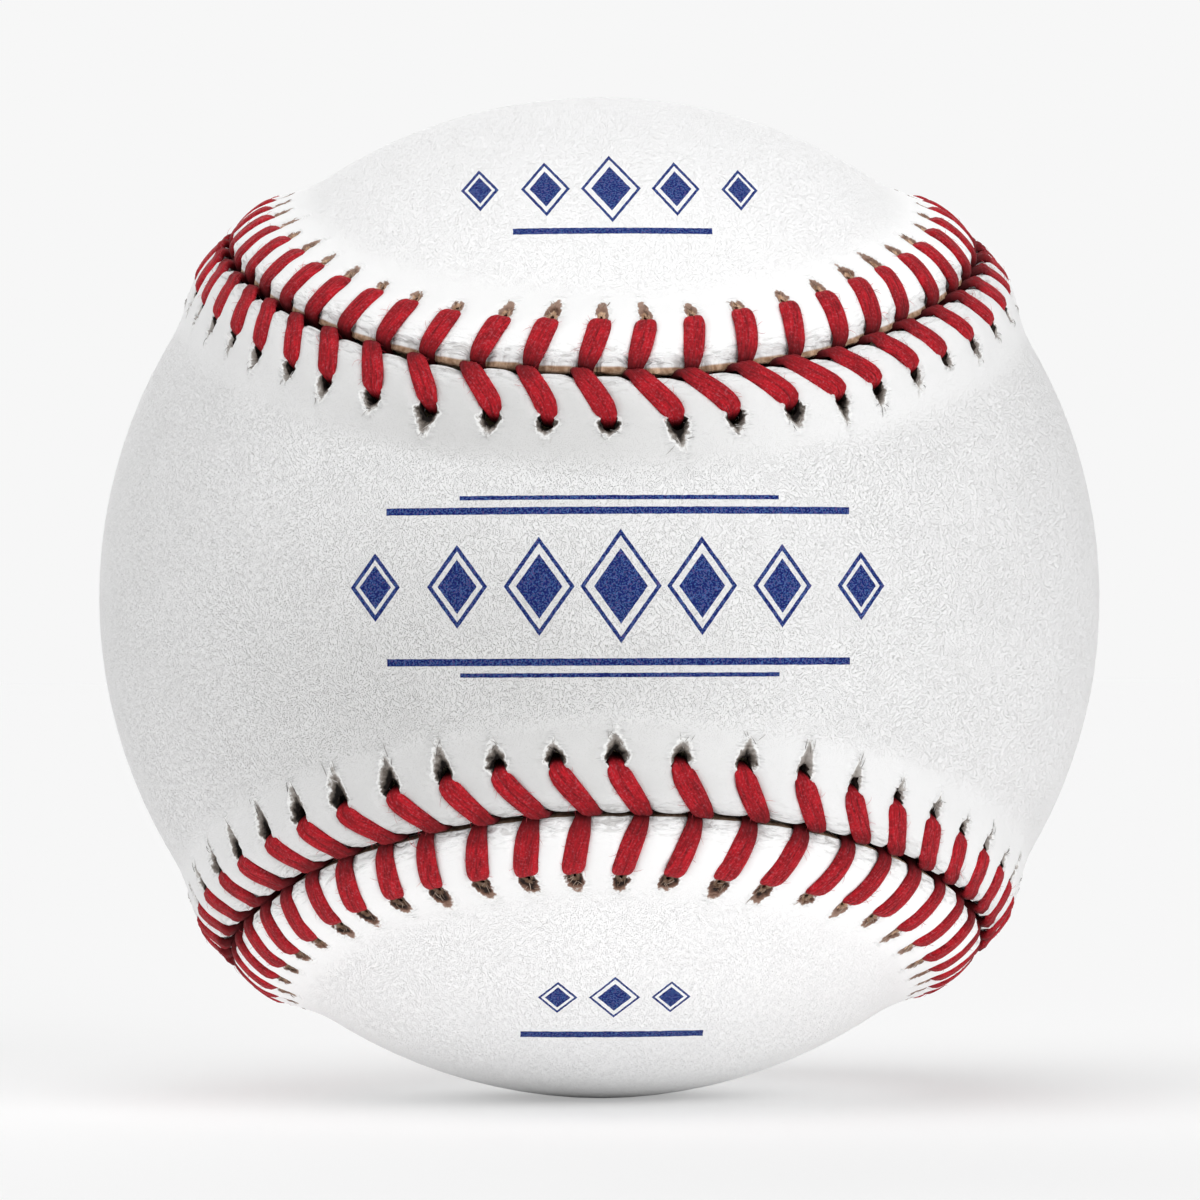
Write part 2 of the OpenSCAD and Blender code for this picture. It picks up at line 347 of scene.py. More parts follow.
@dataclass
class SeamCurve:
    """The closed line between the two panels, counted in stitches from the upper front."""

    ball: Ball
    # How far the pulled leather strays from the drawn line, in millimetres towards the front panel
    stray: Course = (
        (-11, 0), (-8, -0.3), (-6, -0.1), (-4, 0.65), (-3, 0.45), (-1, 0), (0, -0.55), (1, -0.3),
        (2, 0.2), (3, 0.65), (4, 0.6), (5, 0.3), (7, -0.2), (9, -0.5), (12, -0.2), (17, 0.3),
        (22, -0.2), (27, 0.3), (32, -0.3), (37, 0.1), (42, -0.2), (46, -0.5), (48, 0.15),
        (50.5, 0.55), (52.5, 0), (54, -0.5), (55, -0.2), (57, 0.6), (59, 0.5), (61, 0),
        (63, -0.1), (68, 0.3), (73, -0.3), (78, 0.2), (84, -0.35), (90, 0.25),
    )
    stray_ends: tuple[float, float] = (5.0, 9.2)
    steps: int = 7200
    nudge: float = 1e-4
    angles: np.ndarray = field(init=False)
    stitches: np.ndarray = field(init=False)
    pitch: float = field(init=False)

    def __post_init__(self) -> None:
        """Work out the table of stitches against angles."""
        self.angles = np.linspace(0, 4 * math.pi, self.steps + 1)
        chords = np.linalg.norm(np.diff(self.direction(self.angles), axis=0), axis=1)
        length = np.concatenate([[0.0], np.cumsum(chords)])
        self.stitches = length / length[-1] * self.ball.stitch_count
        self.pitch = length[-1] * self.ball.cover_r / self.ball.stitch_count

    def direction(self, angle: np.ndarray) -> np.ndarray:
        """Direction from the ball's centre to the seam.

        Args:
            angle: Angle along the curve, from 0 to four pi.

        Returns:
            Unit vectors.
        """
        half_waist = self.ball.waist_w / 2 / self.ball.cover_r
        swing = self.ball.seam_swing / self.ball.cover_r
        colat = math.pi / 2 - (math.pi / 2 - half_waist) * np.cos(angle)
        lon = math.pi / 2 + angle / 2 + swing * np.sin(2 * angle)
        return np.stack(
            [np.sin(colat) * np.cos(lon), -np.cos(colat), np.sin(colat) * np.sin(lon)], axis=-1
        )

    def axes(self, q: np.ndarray) -> tuple[np.ndarray, np.ndarray, np.ndarray]:
        """Outward, along and beside directions at a place on the seam.

        Args:
            q: Places in stitches.

        Returns:
            Three arrays of unit vectors. Beside points to the front panel.
        """
        angle = np.interp(np.mod(q, self.ball.stitch_count), self.stitches, self.angles)
        out = self.direction(angle)
        along = self.direction(angle + self.nudge) - self.direction(angle - self.nudge)
        along = unit(along)
        return out, along, np.cross(out, along)

    def place(self, q: np.ndarray, u: np.ndarray, r: np.ndarray) -> np.ndarray:
        """Point q stitches along the seam, u beside it and r from the centre.

        Args:
            q: Places along the seam, in stitches.
            u: Distances beside it, positive on the front panel.
            r: Distances from the centre.

        Returns:
            Points in millimetres.
        """
        out, _, beside = self.axes(q)
        stray = follow(self.stray, q, self.ball.stitch_count)
        stray = stray * (1 - smooth(*self.stray_ends, np.abs(u)))
        turn = np.broadcast_to((u + stray) / self.ball.cover_r, np.shape(q))[..., None]
        radius = np.broadcast_to(r, np.shape(q))[..., None]
        return (out * np.cos(turn) + beside * np.sin(turn)) * radius

    def ring_place(self, q: np.ndarray, u: np.ndarray) -> np.ndarray:
        """Flat coordinates that run round once and close, for patterns along the seam.

        Args:
            q: Places along the seam, in stitches.
            u: Distances beside it.

        Returns:
            Coordinates in millimetres, as rows of three.
        """
        angle = 2 * math.pi * q / self.ball.stitch_count
        radius = self.pitch * self.ball.stitch_count / (2 * math.pi)
        return np.stack([radius * np.cos(angle), radius * np.sin(angle), u], axis=-1)


@dataclass(frozen=True)
class Needlework:
    """How one panel was stitched: where its holes lie and how its legs of thread lean.

    Shares are of a stitch, lengths in millimetres. The courses are the hand's unevenness.
    """

    hole_share: float
    gap_share: float
    bend: float
    gap_rise: float
    hole_drift: Course
    gap_drift: Course
    reach_drift: Course
    tear: Course
    dark: Course
    reach: float = 3.97
    stitches: int = 108
    jitter: float = 0.035
    tear_jitter: float = 0.22
    tear_least: float = 0.7
    dark_jitter: float = 0.15
    seed: int = 5

    def uneven(self, course: Course, s: np.ndarray, part: int) -> np.ndarray:
        """A course with a little unevenness of each stitch on top.

        Args:
            course: The slow course.
            s: Places, in counted stitches.
            part: Number that picks the unevenness.

        Returns:
            Values.
        """
        own = np.random.default_rng(self.seed + part).normal(0, self.jitter, self.stitches)
        count = np.arange(self.stitches)
        return follow(course, s, self.stitches) + np.interp(s, count, own, period=self.stitches)

    def at_hole(self, course: Course, s: np.ndarray, own: np.ndarray) -> np.ndarray:
        """A course's value at the nearest hole, with the hole's own share on top.

        Args:
            course: The slow course.
            s: Places, in counted stitches.
            own: Each hole's own share.

        Returns:
            Values.
        """
        hole = np.round(s).astype(int)
        return follow(course, hole, self.stitches) + own[hole % self.stitches]

    def reach_at(self, s: np.ndarray) -> np.ndarray:
        """Distance from the seam at which the thread dives into its hole."""
        return self.reach + follow(self.reach_drift, s, self.stitches)

    def along(self, s: np.ndarray, u: np.ndarray, keep: float | np.ndarray = 1.0) -> np.ndarray:
        """Place along the seam of a counted stitch, at a distance from the seam.

        Args:
            s: Counted stitches.
            u: Distances from the seam.
            keep: Share of the unevenness that is kept.

        Returns:
            Places on the seam curve.
        """
        hole = (self.hole_share + self.uneven(self.hole_drift, s, 1)) * keep
        gap = (self.gap_share + self.uneven(self.gap_drift, s, 2)) * keep
        run = 1 - np.clip(u / self.reach_at(s), 0.0, 1.0)
        return s + hole + (gap - hole) * run**self.bend

    def tear_at(self, s: np.ndarray) -> np.ndarray:
        """How far each hole is torn outward from where the thread dives.

        Args:
            s: Counted stitches.

        Returns:
            Lengths.
        """
        own = np.random.default_rng(self.seed + 3).normal(0, self.tear_jitter, self.stitches)
        return np.maximum(self.at_hole(self.tear, s, own), self.tear_least)

    def dark_at(self, s: np.ndarray) -> np.ndarray:
        """How dark each hole is.

        Args:
            s: Counted stitches.

        Returns:
            Numbers from 0 to 1.
        """
        spread = self.dark_jitter
        own = np.random.default_rng(self.seed + 4).uniform(-spread, spread, self.stitches)
        return np.clip(self.at_hole(self.dark, s, own), 0, 1)


NEEDLEWORK = {
    Side.FRONT: Needlework(
        hole_share=0.0, gap_share=0.67, bend=1.3, gap_rise=0.2, seed=5,
        hole_drift=(
            (-11, 0.2), (-9, 0.35), (-7, 0.4), (-5, 0.2), (-3, 0.08), (-2, 0.18), (0, 0.13),
            (1, 0.03), (2, 0.14), (4, 0.29), (5, 0.33), (6, 0.2), (8, 0.08), (10, 0), (20, 0.1),
            (30, -0.1), (44, 0), (47, 0.02), (49, -0.02), (52, 0.05), (54, -0.03), (55, -0.05),
            (57, 0.08), (58, 0.18), (60, 0.1), (62, -0.02), (64, -0.1), (75, 0.1), (90, -0.1),
        ),
        gap_drift=(
            (-11, 0.2), (-8, 0.36), (-5, 0.28), (-4, 0.38), (-3, 0.16), (-2, 0.24), (-1, 0.08),
            (1, 0.13), (3, 0.25), (4, 0.1), (5, 0.25), (7, 0.05), (9, -0.08), (20, 0), (30, 0.1),
            (44, -0.1), (46, 0.08), (49, 0.05), (52, -0.02), (53, -0.12), (54, -0.2), (55, -0.1),
            (57, 0.13), (58, 0.14), (60, 0.03), (62, -0.07), (64, -0.05), (75, 0), (90, 0.1),
        ),
        reach_drift=(
            (-9, -0.6), (-4, -0.65), (-1, -0.5), (0, -0.25), (1, -0.25), (3, -0.5), (5, -0.6),
            (9, -0.5), (30, -0.4), (46, -0.5), (50, -0.65), (52, -0.3), (54, -0.25), (56, -0.25),
            (58, -0.5), (62, -0.6), (80, -0.4),
        ),
        tear=(
            (-10, 1.3), (-7, 1.4), (-5, 1.9), (-4, 2.1), (-2, 1.8), (0, 1.5), (2, 1.8), (3, 2.2),
            (5, 1.8), (8, 1.3), (20, 1.6), (44, 1.7), (46, 2.2), (49, 3.0), (51, 2.8), (53, 1.9),
            (54, 1.6), (56, 2.0), (58, 1.9), (60, 1.6), (62, 1.3), (80, 1.6),
        ),
        dark=(
            (-10, 0.35), (-7, 0.6), (-5, 0.9), (0, 1), (3, 1), (5, 0.65), (9, 0.35), (20, 0.7),
            (44, 0.5), (46, 0.85), (50, 1), (54, 0.9), (56, 0.8), (58, 0.45), (63, 0.3), (80, 0.7),
        ),
    ),
    Side.BACK: Needlework(
        hole_share=0.12, gap_share=0.39, bend=1.1, gap_rise=0.0, seed=8,
        hole_drift=(
            (-11, -0.1), (-9, 0.15), (-7, 0.24), (-5, 0.17), (-3, 0.12), (-1, 0.15), (0, 0.3),
            (1, 0.38), (2, 0.34), (4, 0.22), (6, 0.13), (9, 0.15), (11, -0.1), (20, 0.1),
            (30, -0.1), (44, -0.1), (47, -0.07), (49, -0.04), (51, -0.18), (53, -0.25),
            (54, -0.05), (55, 0.2), (58, 0.28), (60, 0.28), (61, 0.42), (62, 0.58), (64, 0.6),
            (67, 0.2), (80, -0.1), (92, 0.1),
        ),
        gap_drift=(
            (-11, 0.1), (-9, 0.1), (-7, 0.43), (-5, 0.24), (-3, 0.2), (-2, 0.3), (0, 0.28),
            (2, 0.25), (5, 0.2), (7, 0.03), (9, -0.05), (20, 0), (30, 0.1), (44, 0.18),
            (46, 0.16), (48, 0.1), (50, 0), (53, -0.06), (54, 0.02), (56, 0.14), (58, 0.16),
            (60, 0.12), (61, 0.2), (63, 0.1), (66, 0.2), (80, 0), (92, -0.1),
        ),
        reach_drift=(
            (-11, 0.5), (-8, 0.45), (-5, 0.4), (-3, 0.3), (-1, 0.05), (1, -0.15), (6, -0.15),
            (8, 0.1), (11, 0.2), (30, 0.1), (44, 0.3), (49, 0.25), (51, 0.35), (53, 0.75),
            (55, 1.1), (58, 0.9), (60, 0.55), (63, 1.0), (67, 0.4), (85, 0.1),
        ),
        tear=(
            (-10, 1), (-7, 1.7), (-5, 1.3), (-3, 1.1), (0, 1.8), (3, 1), (5, 1), (7, 1.3),
            (20, 1.3), (45, 1.3), (48, 1.7), (52, 1.7), (56, 1.6), (59, 1.4), (62, 1.5),
            (80, 1.3),
        ),
        dark=(
            (-10, 0.3), (-7, 0.55), (0, 0.5), (4, 0.4), (8, 0.3), (20, 0.5), (45, 0.75), (47, 0.9),
            (50, 1.1), (54, 1.1), (56, 0.85), (59, 0.65), (63, 0.5), (80, 0.6),
        ),
    ),
}


@dataclass(frozen=True)
class Ridge:
    """Heights of the stitched ridge, its pillows and holes over the ball, in millimetres."""

    crest_lift: float = 1.26
    crest_offset: float = 2.0
    foot: float = 8.2
    edge_drop: float = 0.2
    groove_depth: float = 0.34
    groove_half: float = 0.92
    # Beside the hole, between these distances from it, the groove runs out
    groove_ends: tuple[float, float] = (0.6, -0.8)
    pillow_lift: float = 0.2
    pillow_ends: tuple[float, float] = (6.0, 2.6)
    # Exponents of the groove's and the pillow's section: the higher, the squarer
    groove_square: float = 3.5
    pillow_square: float = 2.2
    # A hole's tear on the two panels: depth, lip, half width and reach back beside a leg, and
    # how far out from the dive of the thread it starts
    tear_depth: tuple[float, float] = (0.42, 0.14)
    tear_lip: tuple[float, float] = (0.1, 0.0)
    tear_half: tuple[float, float] = (0.74, 0.78)
    tear_back: tuple[float, float] = (0.8, 1.0)
    tear_start: float = 0.4
    # Exponent of a tear's outline on the two panels: 1 is a lozenge and 2 an oval
    tear_point: tuple[float, float] = (1.3, 2.0)
    # As shares: width of a pale hole, depth at a tear's point, where its floor sinks, where its
    # lip lies, how wide that is, and how high it is before nearness to the thread lowers it
    tear_shut: float = 0.52
    tear_shallow: float = 0.35
    sink_ends: tuple[float, float] = (-0.1, 0.6)
    lip_middle: float = -0.22
    lip_width: float = 0.2
    lip_top: float = 1.3
    round_depth: float = 0.42
    round_width: float = 0.62
    gap_half: float = 0.45
    gap_swing: float = 0.1
    scallop: float = 0.24
    edge_least: float = 0.05
    crease: tuple[float, float] = (0.05, 0.03)
    crease_size: tuple[float, float] = (1.3, 0.6)
    crease_ends: tuple[float, float] = (7.0, 3.0)
    swell: tuple[float, float] = (0.05, 0.02)
    swell_size: tuple[float, float] = (14.0, 6.0)


@dataclass
class Relief:
    """Height of one panel's grain side over the ball's radius, in millimetres."""

    ball: Ball
    seam: SeamCurve
    side: Side
    ridge: Ridge = Ridge()
    pillow_spread: tuple[float, float] = (0.6, 1.4)
    seed: int = 11
    pillows: np.ndarray = field(init=False)

    def __post_init__(self) -> None:
        """Draw one random size for each pillow."""
        draw = np.random.default_rng(self.seed + self.side.value)
        self.pillows = draw.uniform(*self.pillow_spread, self.ball.stitch_count)

    @property
    def work(self) -> Needlework:
        """The needlework on this panel."""
        return NEEDLEWORK[self.side]

    @property
    def panel(self) -> int:
        """Place of this panel's size where a size is given for each."""
        return 0 if self.side is Side.FRONT else 1

    def upper(self, q: np.ndarray) -> np.ndarray:
        """1 on the upper front arc, where the gap lies open, and -1 on the lower front one."""
        return np.cos(2 * math.pi * q / self.ball.stitch_count)

    def lift(self, u: np.ndarray) -> np.ndarray:
        """Height of the stitched ridge without its details.

        Args:
            u: Distance from the seam.

        Returns:
            Heights.
        """
        top = self.ridge.crest_offset
        fall = np.cos(np.clip((u - top) / (self.ridge.foot - top), 0, 1) * math.pi / 2) ** 2
        inner = 1 - self.ridge.edge_drop * ((top - u) / top) ** 2
        return self.ridge.crest_lift * np.where(u > top, fall, inner)

    def groove(self, s: np.ndarray) -> tuple[np.ndarray, np.ndarray, np.ndarray]:
        """How much a place lies under a leg of thread, and its place on a pillow.

        Args:
            s: Places in counted stitches.

        Returns:
            Share of the groove's depth, share of the pillow's swelling, and pillow numbers.
        """
        apart = np.abs(s - np.round(s))
        number = np.floor(s).astype(int) % self.ball.stitch_count
        ridge = self.ridge
        under = np.exp(-((apart * self.seam.pitch / ridge.groove_half) ** ridge.groove_square))
        return under, 1 - (1 - 2 * apart) ** ridge.pillow_square, number

    def edge(self, s: np.ndarray, q: np.ndarray) -> np.ndarray:
        """Distance of the panel's cut edge from the seam line.

        The gap is open over the upper front and nearly shut under the lower front, and each
        pillow of leather bulges into it.

        Args:
            s: Places in counted stitches.
            q: The same places along the seam.

        Returns:
            Distances.
        """
        _, bulge, number = self.groove(s)
        ridge = self.ridge
        bulge = ridge.scallop * bulge * self.pillows[number]
        side_gap = ridge.gap_half + ridge.gap_swing * self.upper(q)
        return np.maximum(side_gap + ridge.scallop / 2 - bulge, ridge.edge_least)

    def half_at(self, s: np.ndarray) -> np.ndarray:
        """Half width of each hole's tear, less where the hole is pale and drawn shut.

        Args:
            s: Places in counted stitches.

        Returns:
            Half widths.
        """
        shut = self.ridge.tear_shut
        return self.ridge.tear_half[self.panel] * (shut + (1 - shut) * self.work.dark_at(s))

    def torn(self, s: np.ndarray, u: np.ndarray) -> tuple[np.ndarray, np.ndarray]:
        """Shape of the nearest stitch hole with the tear that runs outward from it to a point.

        Args:
            s: Places in counted stitches.
            u: Distances from the seam.

        Returns:
            Share inside the tear, 1 in its middle, 0 on its outline and less outside, and how
            near the place is to the thread, 1 beside it and 0 at the tear's point.
        """
        ridge = self.ridge
        apart = np.abs(s - np.round(s)) * self.seam.pitch / self.half_at(s)
        out = u - self.work.reach_at(s) - ridge.tear_start
        beyond = np.maximum(out, 0) / (self.work.tear_at(s) - ridge.tear_start)
        before = np.maximum(-out, 0) / ridge.tear_back[self.panel]
        point = ridge.tear_point[self.panel]
        inside = 1 - (apart**point + (beyond + before) ** point) ** (1 / point)
        return np.maximum(inside, -1.0), np.clip(1 - beyond, 0, 1)

    def height(self, s: np.ndarray, q: np.ndarray, u: np.ndarray) -> np.ndarray:
        """Height of the leather's grain side.

        Args:
            s: Places in counted stitches.
            q: The same places along the seam.
            u: Distances from the seam.

        Returns:
            Heights over the ball's radius.
        """
        ridge = self.ridge
        under, bulge, number = self.groove(s)
        reach = self.work.reach_at(s)
        pillow = ridge.pillow_lift * self.pillows[number] * bulge * smooth(*ridge.pillow_ends, u)
        inside, near = self.torn(s, u)
        shallow = ridge.tear_shallow
        sink = smooth(*ridge.sink_ends, inside) * ridge.tear_depth[self.panel]
        sink = sink * (shallow + (1 - shallow) * near)
        lip = np.exp(-(((inside - ridge.lip_middle) / ridge.lip_width) ** 2))
        lip = lip * ridge.tear_lip[self.panel] * (ridge.lip_top - near)
        rounding = (1 - smooth(0.0, ridge.round_width, u - self.edge(s, q))) ** 2
        groove = ridge.groove_depth * under * smooth(*ridge.groove_ends, u - reach)
        at = self.seam.place(q, u * self.side.value, np.full_like(q, self.ball.cover_r))
        creases = self.bumps(at, zip(ridge.crease, ridge.crease_size), self.seed + 5)
        detail = pillow - groove - ridge.round_depth * rounding
        detail += lip - sink + creases * smooth(*ridge.crease_ends, u)
        return self.lift(u) + detail + self.swell(at)

    def swell(self, at: np.ndarray) -> np.ndarray:
        """Slow unevenness of the wound centre under the leather."""
        return self.bumps(at, zip(self.ridge.swell, self.ridge.swell_size), self.seed + 7)

    def bumps(
        self, at: np.ndarray, waves: Iterable[tuple[float, float]], seed: int
    ) -> np.ndarray:
        """Sum of smooth random waves.

        Args:
            at: Places, in millimetres.
            waves: Height and size of each wave.
            seed: Number that picks the first wave.

        Returns:
            Heights.
        """
        return sum(
            depth * lattice_noise(at, size, seed + k) for k, (depth, size) in enumerate(waves)
        )


# Cover


@dataclass
class CoverPanel:
    """One figure-eight panel of leather, from its cut edge over the ridge to its smooth middle."""

    ball: Ball
    seam: SeamCurve
    side: Side
    tip: int
    relief: Relief
    # Columns of points for one stitch, in millimetres from the hole's middle
    columns: tuple[float, ...] = (
        -1.67, -1.5, -1.32, -1.12, -0.95, -0.75, -0.38,
        0.0, 0.38, 0.75, 0.95, 1.12, 1.32, 1.5, 1.67,
    )
    hole_columns: tuple[int, int] = (5, 9)
    # Rows of points, in millimetres from the seam
    rows: tuple[float, ...] = (
        0.45, 0.5, 0.6, 0.76, 0.96, 1.2, 1.5, 1.85, 2.2, 2.55, 2.9, 3.2, 3.42,
        3.62, 3.85, 4.1, 4.35, 4.6, 4.8,
        5.0, 5.22, 5.45, 5.7, 6.0, 6.35, 6.8, 7.4, 8.3,
    )
    hole_rows: tuple[int, int] = (13, 18)
    inner_rows: tuple[int, ...] = (0, 8, 13, 14, 15, 16, 17, 18, 27)
    # Distances between which the rows shift with the hole, and from which the unevenness fades
    shift_ends: tuple[float, float, float, float] = (1.6, 3.5, 5.6, 8.3)
    # Half width of the opening at each of its rows
    openings: tuple[tuple[float, ...], ...] = (
        (0.42, 0.54, 0.54, 0.46, 0.34, 0.14),
        (0.42, 0.55, 0.56, 0.52, 0.42, 0.2),
    )
    # How far the flesh of the hole's wall stands into it, as a share of the way to its middle
    wall_depths: tuple[float, float] = (0.14, 0.55)
    wall_pinches: tuple[tuple[float, float], ...] = ((0.12, 0.05), (0.7, 0.35))
    cut_depths: tuple[float, float] = (0.3, 0.7)
    bevel: float = 0.46
    ragged: float = 0.05
    # Share of its width that a pale hole keeps, and spreads of the holes, torn ends and walls
    shut: float = 0.7
    hole_spread: tuple[float, float] = (0.82, 1.15)
    torn_spread: tuple[float, float] = (-0.08, 0.15)
    wall_spread: tuple[float, float] = (-0.1, 0.14)
    # Distance over which the rows follow the cut edge, and its bulge, roughness and grain
    edge_pull: float = 1.6
    edge_bulge: float = 0.03
    edge_rough: float = 0.04
    edge_grain: float = 0.5
    # Width of the wear at the gap, and between which distances the stretch fades
    wear: float = 1.1
    taut_ends: tuple[float, float] = (8.2, 5.6)
    ring_u: float = 9.3
    ring_per_stitch: int = 5
    across: int = 20
    seed: int = 31
    # What is made so far, and the band's places along and beside the seam
    points: list[np.ndarray] = field(default_factory=list)
    faces: list[Face] = field(default_factory=list)
    marks: list[np.ndarray] = field(default_factory=list)
    count: int = 0
    s: np.ndarray = field(init=False)
    q: np.ndarray = field(init=False)
    u: np.ndarray = field(init=False)

    def build(self) -> bpy.types.Object:
        """Build the panel.

        Returns:
            The leather piece.
        """
        self.s, self.q, self.u = self.grid()
        outer = self.surface(grain=True)
        inner = self.surface(grain=False)
        self.rim(outer, inner)
        self.walls(outer, inner)
        if self.side is Side.BACK:
            self.faces = [face[::-1] for face in self.faces]
        marks = np.concatenate(self.marks)
        named = {"cut": marks[:, 0], "torn": marks[:, 1:4], "worn": marks[:, 4]}
        named |= {"taut": marks[:, 5], "lay": marks[:, 6:]}
        name = f"cover_panel_{self.side.name.lower()}"
        points = np.concatenate(self.points)
        piece = outward(make_piece(f"{name}_leather", points, self.faces, named, sharp_degrees=60))
        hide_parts(name)
        return piece

    def keep(self, points: np.ndarray, marks: np.ndarray) -> np.ndarray:
        """Keep some points with their marks and return their numbers.

        Args:
            points: Points in millimetres.
            marks: For each, its cut, three numbers on the nearest hole, wear, stretch and seam
                coordinates.

        Returns:
            Point numbers.
        """
        numbers = np.arange(self.count, self.count + len(points))
        self.points.append(points)
        self.marks.append(marks)
        self.count += len(points)
        return numbers

    def grid(self) -> tuple[np.ndarray, np.ndarray, np.ndarray]:
        """Places of the band's points along and beside the seam.

        Returns:
            Arrays of counted stitches, places along the seam and distances from it.
        """
        count = self.ball.stitch_count
        draw = np.random.default_rng(self.seed + self.side.value)
        width = len(self.columns)
        offsets = np.tile(np.array(self.columns), count)
        stitch = np.repeat(np.arange(count), width)
        column = np.tile(np.arange(width), count)
        first, last = self.hole_columns
        near, far = self.hole_rows
        half_hole = self.columns[last]
        middle = (column >= first) & (column <= last)
        beside = (column == first - 1) | (column == last + 1)
        # Pale holes are shut further than dark ones
        spread = self.shut + (1 - self.shut) * self.relief.work.dark_at(stitch + self.tip)
        shift = np.zeros((len(self.rows), len(offsets)))
        u = np.tile(np.array(self.rows)[:, None], (1, len(offsets)))
        ragged = draw.normal(0, self.ragged, u.shape)
        opening = self.openings[self.relief.panel]
        for row in range(near, far + 1):
            half = opening[row - near] * draw.uniform(*self.hole_spread, count)[stitch] * spread
            edge = half - half_hole
            shift[row] += np.where(middle, offsets / half_hole * edge + ragged[row], 0)
            shift[row] += np.where(beside, 0.5 * edge * np.sign(offsets), 0)
        # Each hole's far end runs out to a torn point of its own
        torn = draw.uniform(*self.torn_spread, count)[stitch]
        point = np.clip(1 - np.abs(offsets) / half_hole, 0, 1)
        u[far] += np.where(middle, torn * point + ragged[far], 0)
        s = np.broadcast_to(stitch + self.tip, u.shape) + (offsets + shift) / self.seam.pitch
        work = self.relief.work
        rise, full, fade, end = self.shift_ends
        keep = 1 - smooth(fade, end, u)
        u = u + (work.reach_at(s) - work.reach) * smooth(rise, full, u) * keep
        q = work.along(s, u, keep)
        # The rows next to the gap follow the cut edge
        pull = np.clip(1 - (u - self.rows[0]) / self.edge_pull, 0, 1)
        u = u + (self.relief.edge(s, q) - self.rows[0]) * pull
        return s, q, u

    def band_marks(self, row: int, use: np.ndarray) -> np.ndarray:
        """Tears at the holes, wear at the gap, stretch and seam coordinates of one row.

        Args:
            row: Row number.
            use: Which of the row's points are kept.

        Returns:
            One row of marks for each point.
        """
        s, q, u = self.s[row], self.q[row], self.u[row]
        inside, near = self.relief.torn(s, u)
        dark = self.relief.work.dark_at(s)
        worn = np.exp(-(((u - self.relief.edge(s, q)) / self.wear) ** 2))
        taut = smooth(*self.taut_ends, u)
        place = self.seam.ring_place(q, u)
        return np.column_stack([np.zeros(len(s)), inside, near, dark, worn, taut, place])[use]

    def surface(self, grain: bool) -> np.ndarray:
        """Make the grain side or the flesh side of the panel.

        Args:
            grain: True for the outer side.

        Returns:
            Point numbers of its band, by row and column.
        """
        rows = range(len(self.rows)) if grain else self.inner_rows
        near, far = self.hole_rows
        first, last = self.hole_columns
        width = len(self.columns)
        total = width * self.ball.stitch_count
        column = np.arange(total) % width
        band = np.full((len(self.rows), total), -1)
        for row in rows:
            use = ~((column > first) & (column < last) & (near < row < far))
            s, q, u = self.s[row], self.q[row], self.u[row]
            if grain:
                r = self.ball.cover_r + self.relief.height(s, q, u)
            else:
                r = self.ball.cover_r - self.ball.leather_t + self.relief.lift(u)
            points = self.seam.place(q, u * self.side.value, r)
            band[row, use] = self.keep(points[use], self.band_marks(row, use))
        faces = []
        for low, high in pairwise(rows):
            for c, face in enumerate(strip(band[low], band[high], flip=True)):
                if not (near <= low < far and first <= c % width < last):
                    faces.append(face)
        faces += self.middle(band[rows[-1]], grain)
        self.faces += [tuple(int(i) for i in (face if grain else face[::-1])) for face in faces]
        return band

    def middle(self, last_row: np.ndarray, grain: bool) -> list[Face]:
        """Close the panel's smooth middle with lines between mirrored points of a ring.

        Args:
            last_row: Point numbers of the band's last row.
            grain: True for the outer side.

        Returns:
            Faces.
        """
        count = self.ball.stitch_count * self.ring_per_stitch
        base = self.ball.cover_r - (0 if grain else self.ball.leather_t)

        def lay(directions: np.ndarray) -> np.ndarray:
            """Put points on the surface and keep them.

            Args:
                directions: Directions from the ball's centre.

            Returns:
                Point numbers.
            """
            at = directions * self.ball.cover_r
            r = base + (self.relief.swell(at) if grain else 0)
            # Neither cut, worn nor stretched, and outside every tear
            marks = np.column_stack([np.zeros((len(at), 6)), at])
            marks[:, 1] = -1.0
            return self.keep(directions * np.reshape(r, (-1, 1)), marks)

        ring_q = self.tip + (np.arange(count) + 0.5) / self.ring_per_stitch
        u = np.full(count, self.ring_u * self.side.value)
        ring_dir = self.seam.place(ring_q, u, np.ones(count))
        ring = lay(ring_dir)
        faces = []
        total = len(last_row)
        # Each step of the ring meets three columns of the band
        for g in range(count):
            a = [last_row[(3 * g + k) % total] for k in range(4)]
            b = [ring[(g + k - 2) % count] for k in range(2)]
            faces += [(a[0], b[0], a[1]), (a[1], b[0], b[1], a[2]), (a[2], b[1], a[3])]
        lines = []
        half = count // 2
        for i in range(1, half - 1):
            start, end = ring_dir[i], ring_dir[-1 - i]
            angle = math.acos(float(np.clip(start @ end, -1, 1)))
            t = np.linspace(0, 1, self.across + 1)[1:-1, None]
            between = (np.sin((1 - t) * angle) * start + np.sin(t * angle) * end) / math.sin(angle)
            lines.append(np.concatenate([[ring[i]], lay(between), [ring[-1 - i]]]))
        for one, two in pairwise(lines):
            faces += strip(one, two, closed=False)
        for line, low, high, flip in (
            (lines[0], ring[0], ring[-1], False),
            (lines[-1], ring[half - 1], ring[half], True),
        ):
            mid = self.across // 2
            fan = [(low if k < mid else high, line[k + 1], line[k]) for k in range(self.across)]
            fan.append((low, high, line[mid]))
            faces += [f[::-1] if flip else f for f in fan]
        return faces

    def cut_marks(self, like: np.ndarray) -> np.ndarray:
        """Marks of cut leather beside the given points.

        Args:
            like: Numbers of the points.

        Returns:
            One row of marks for each point.
        """
        marks = np.concatenate(self.marks)[like].copy()
        marks[:, 0] = 1.0
        return marks

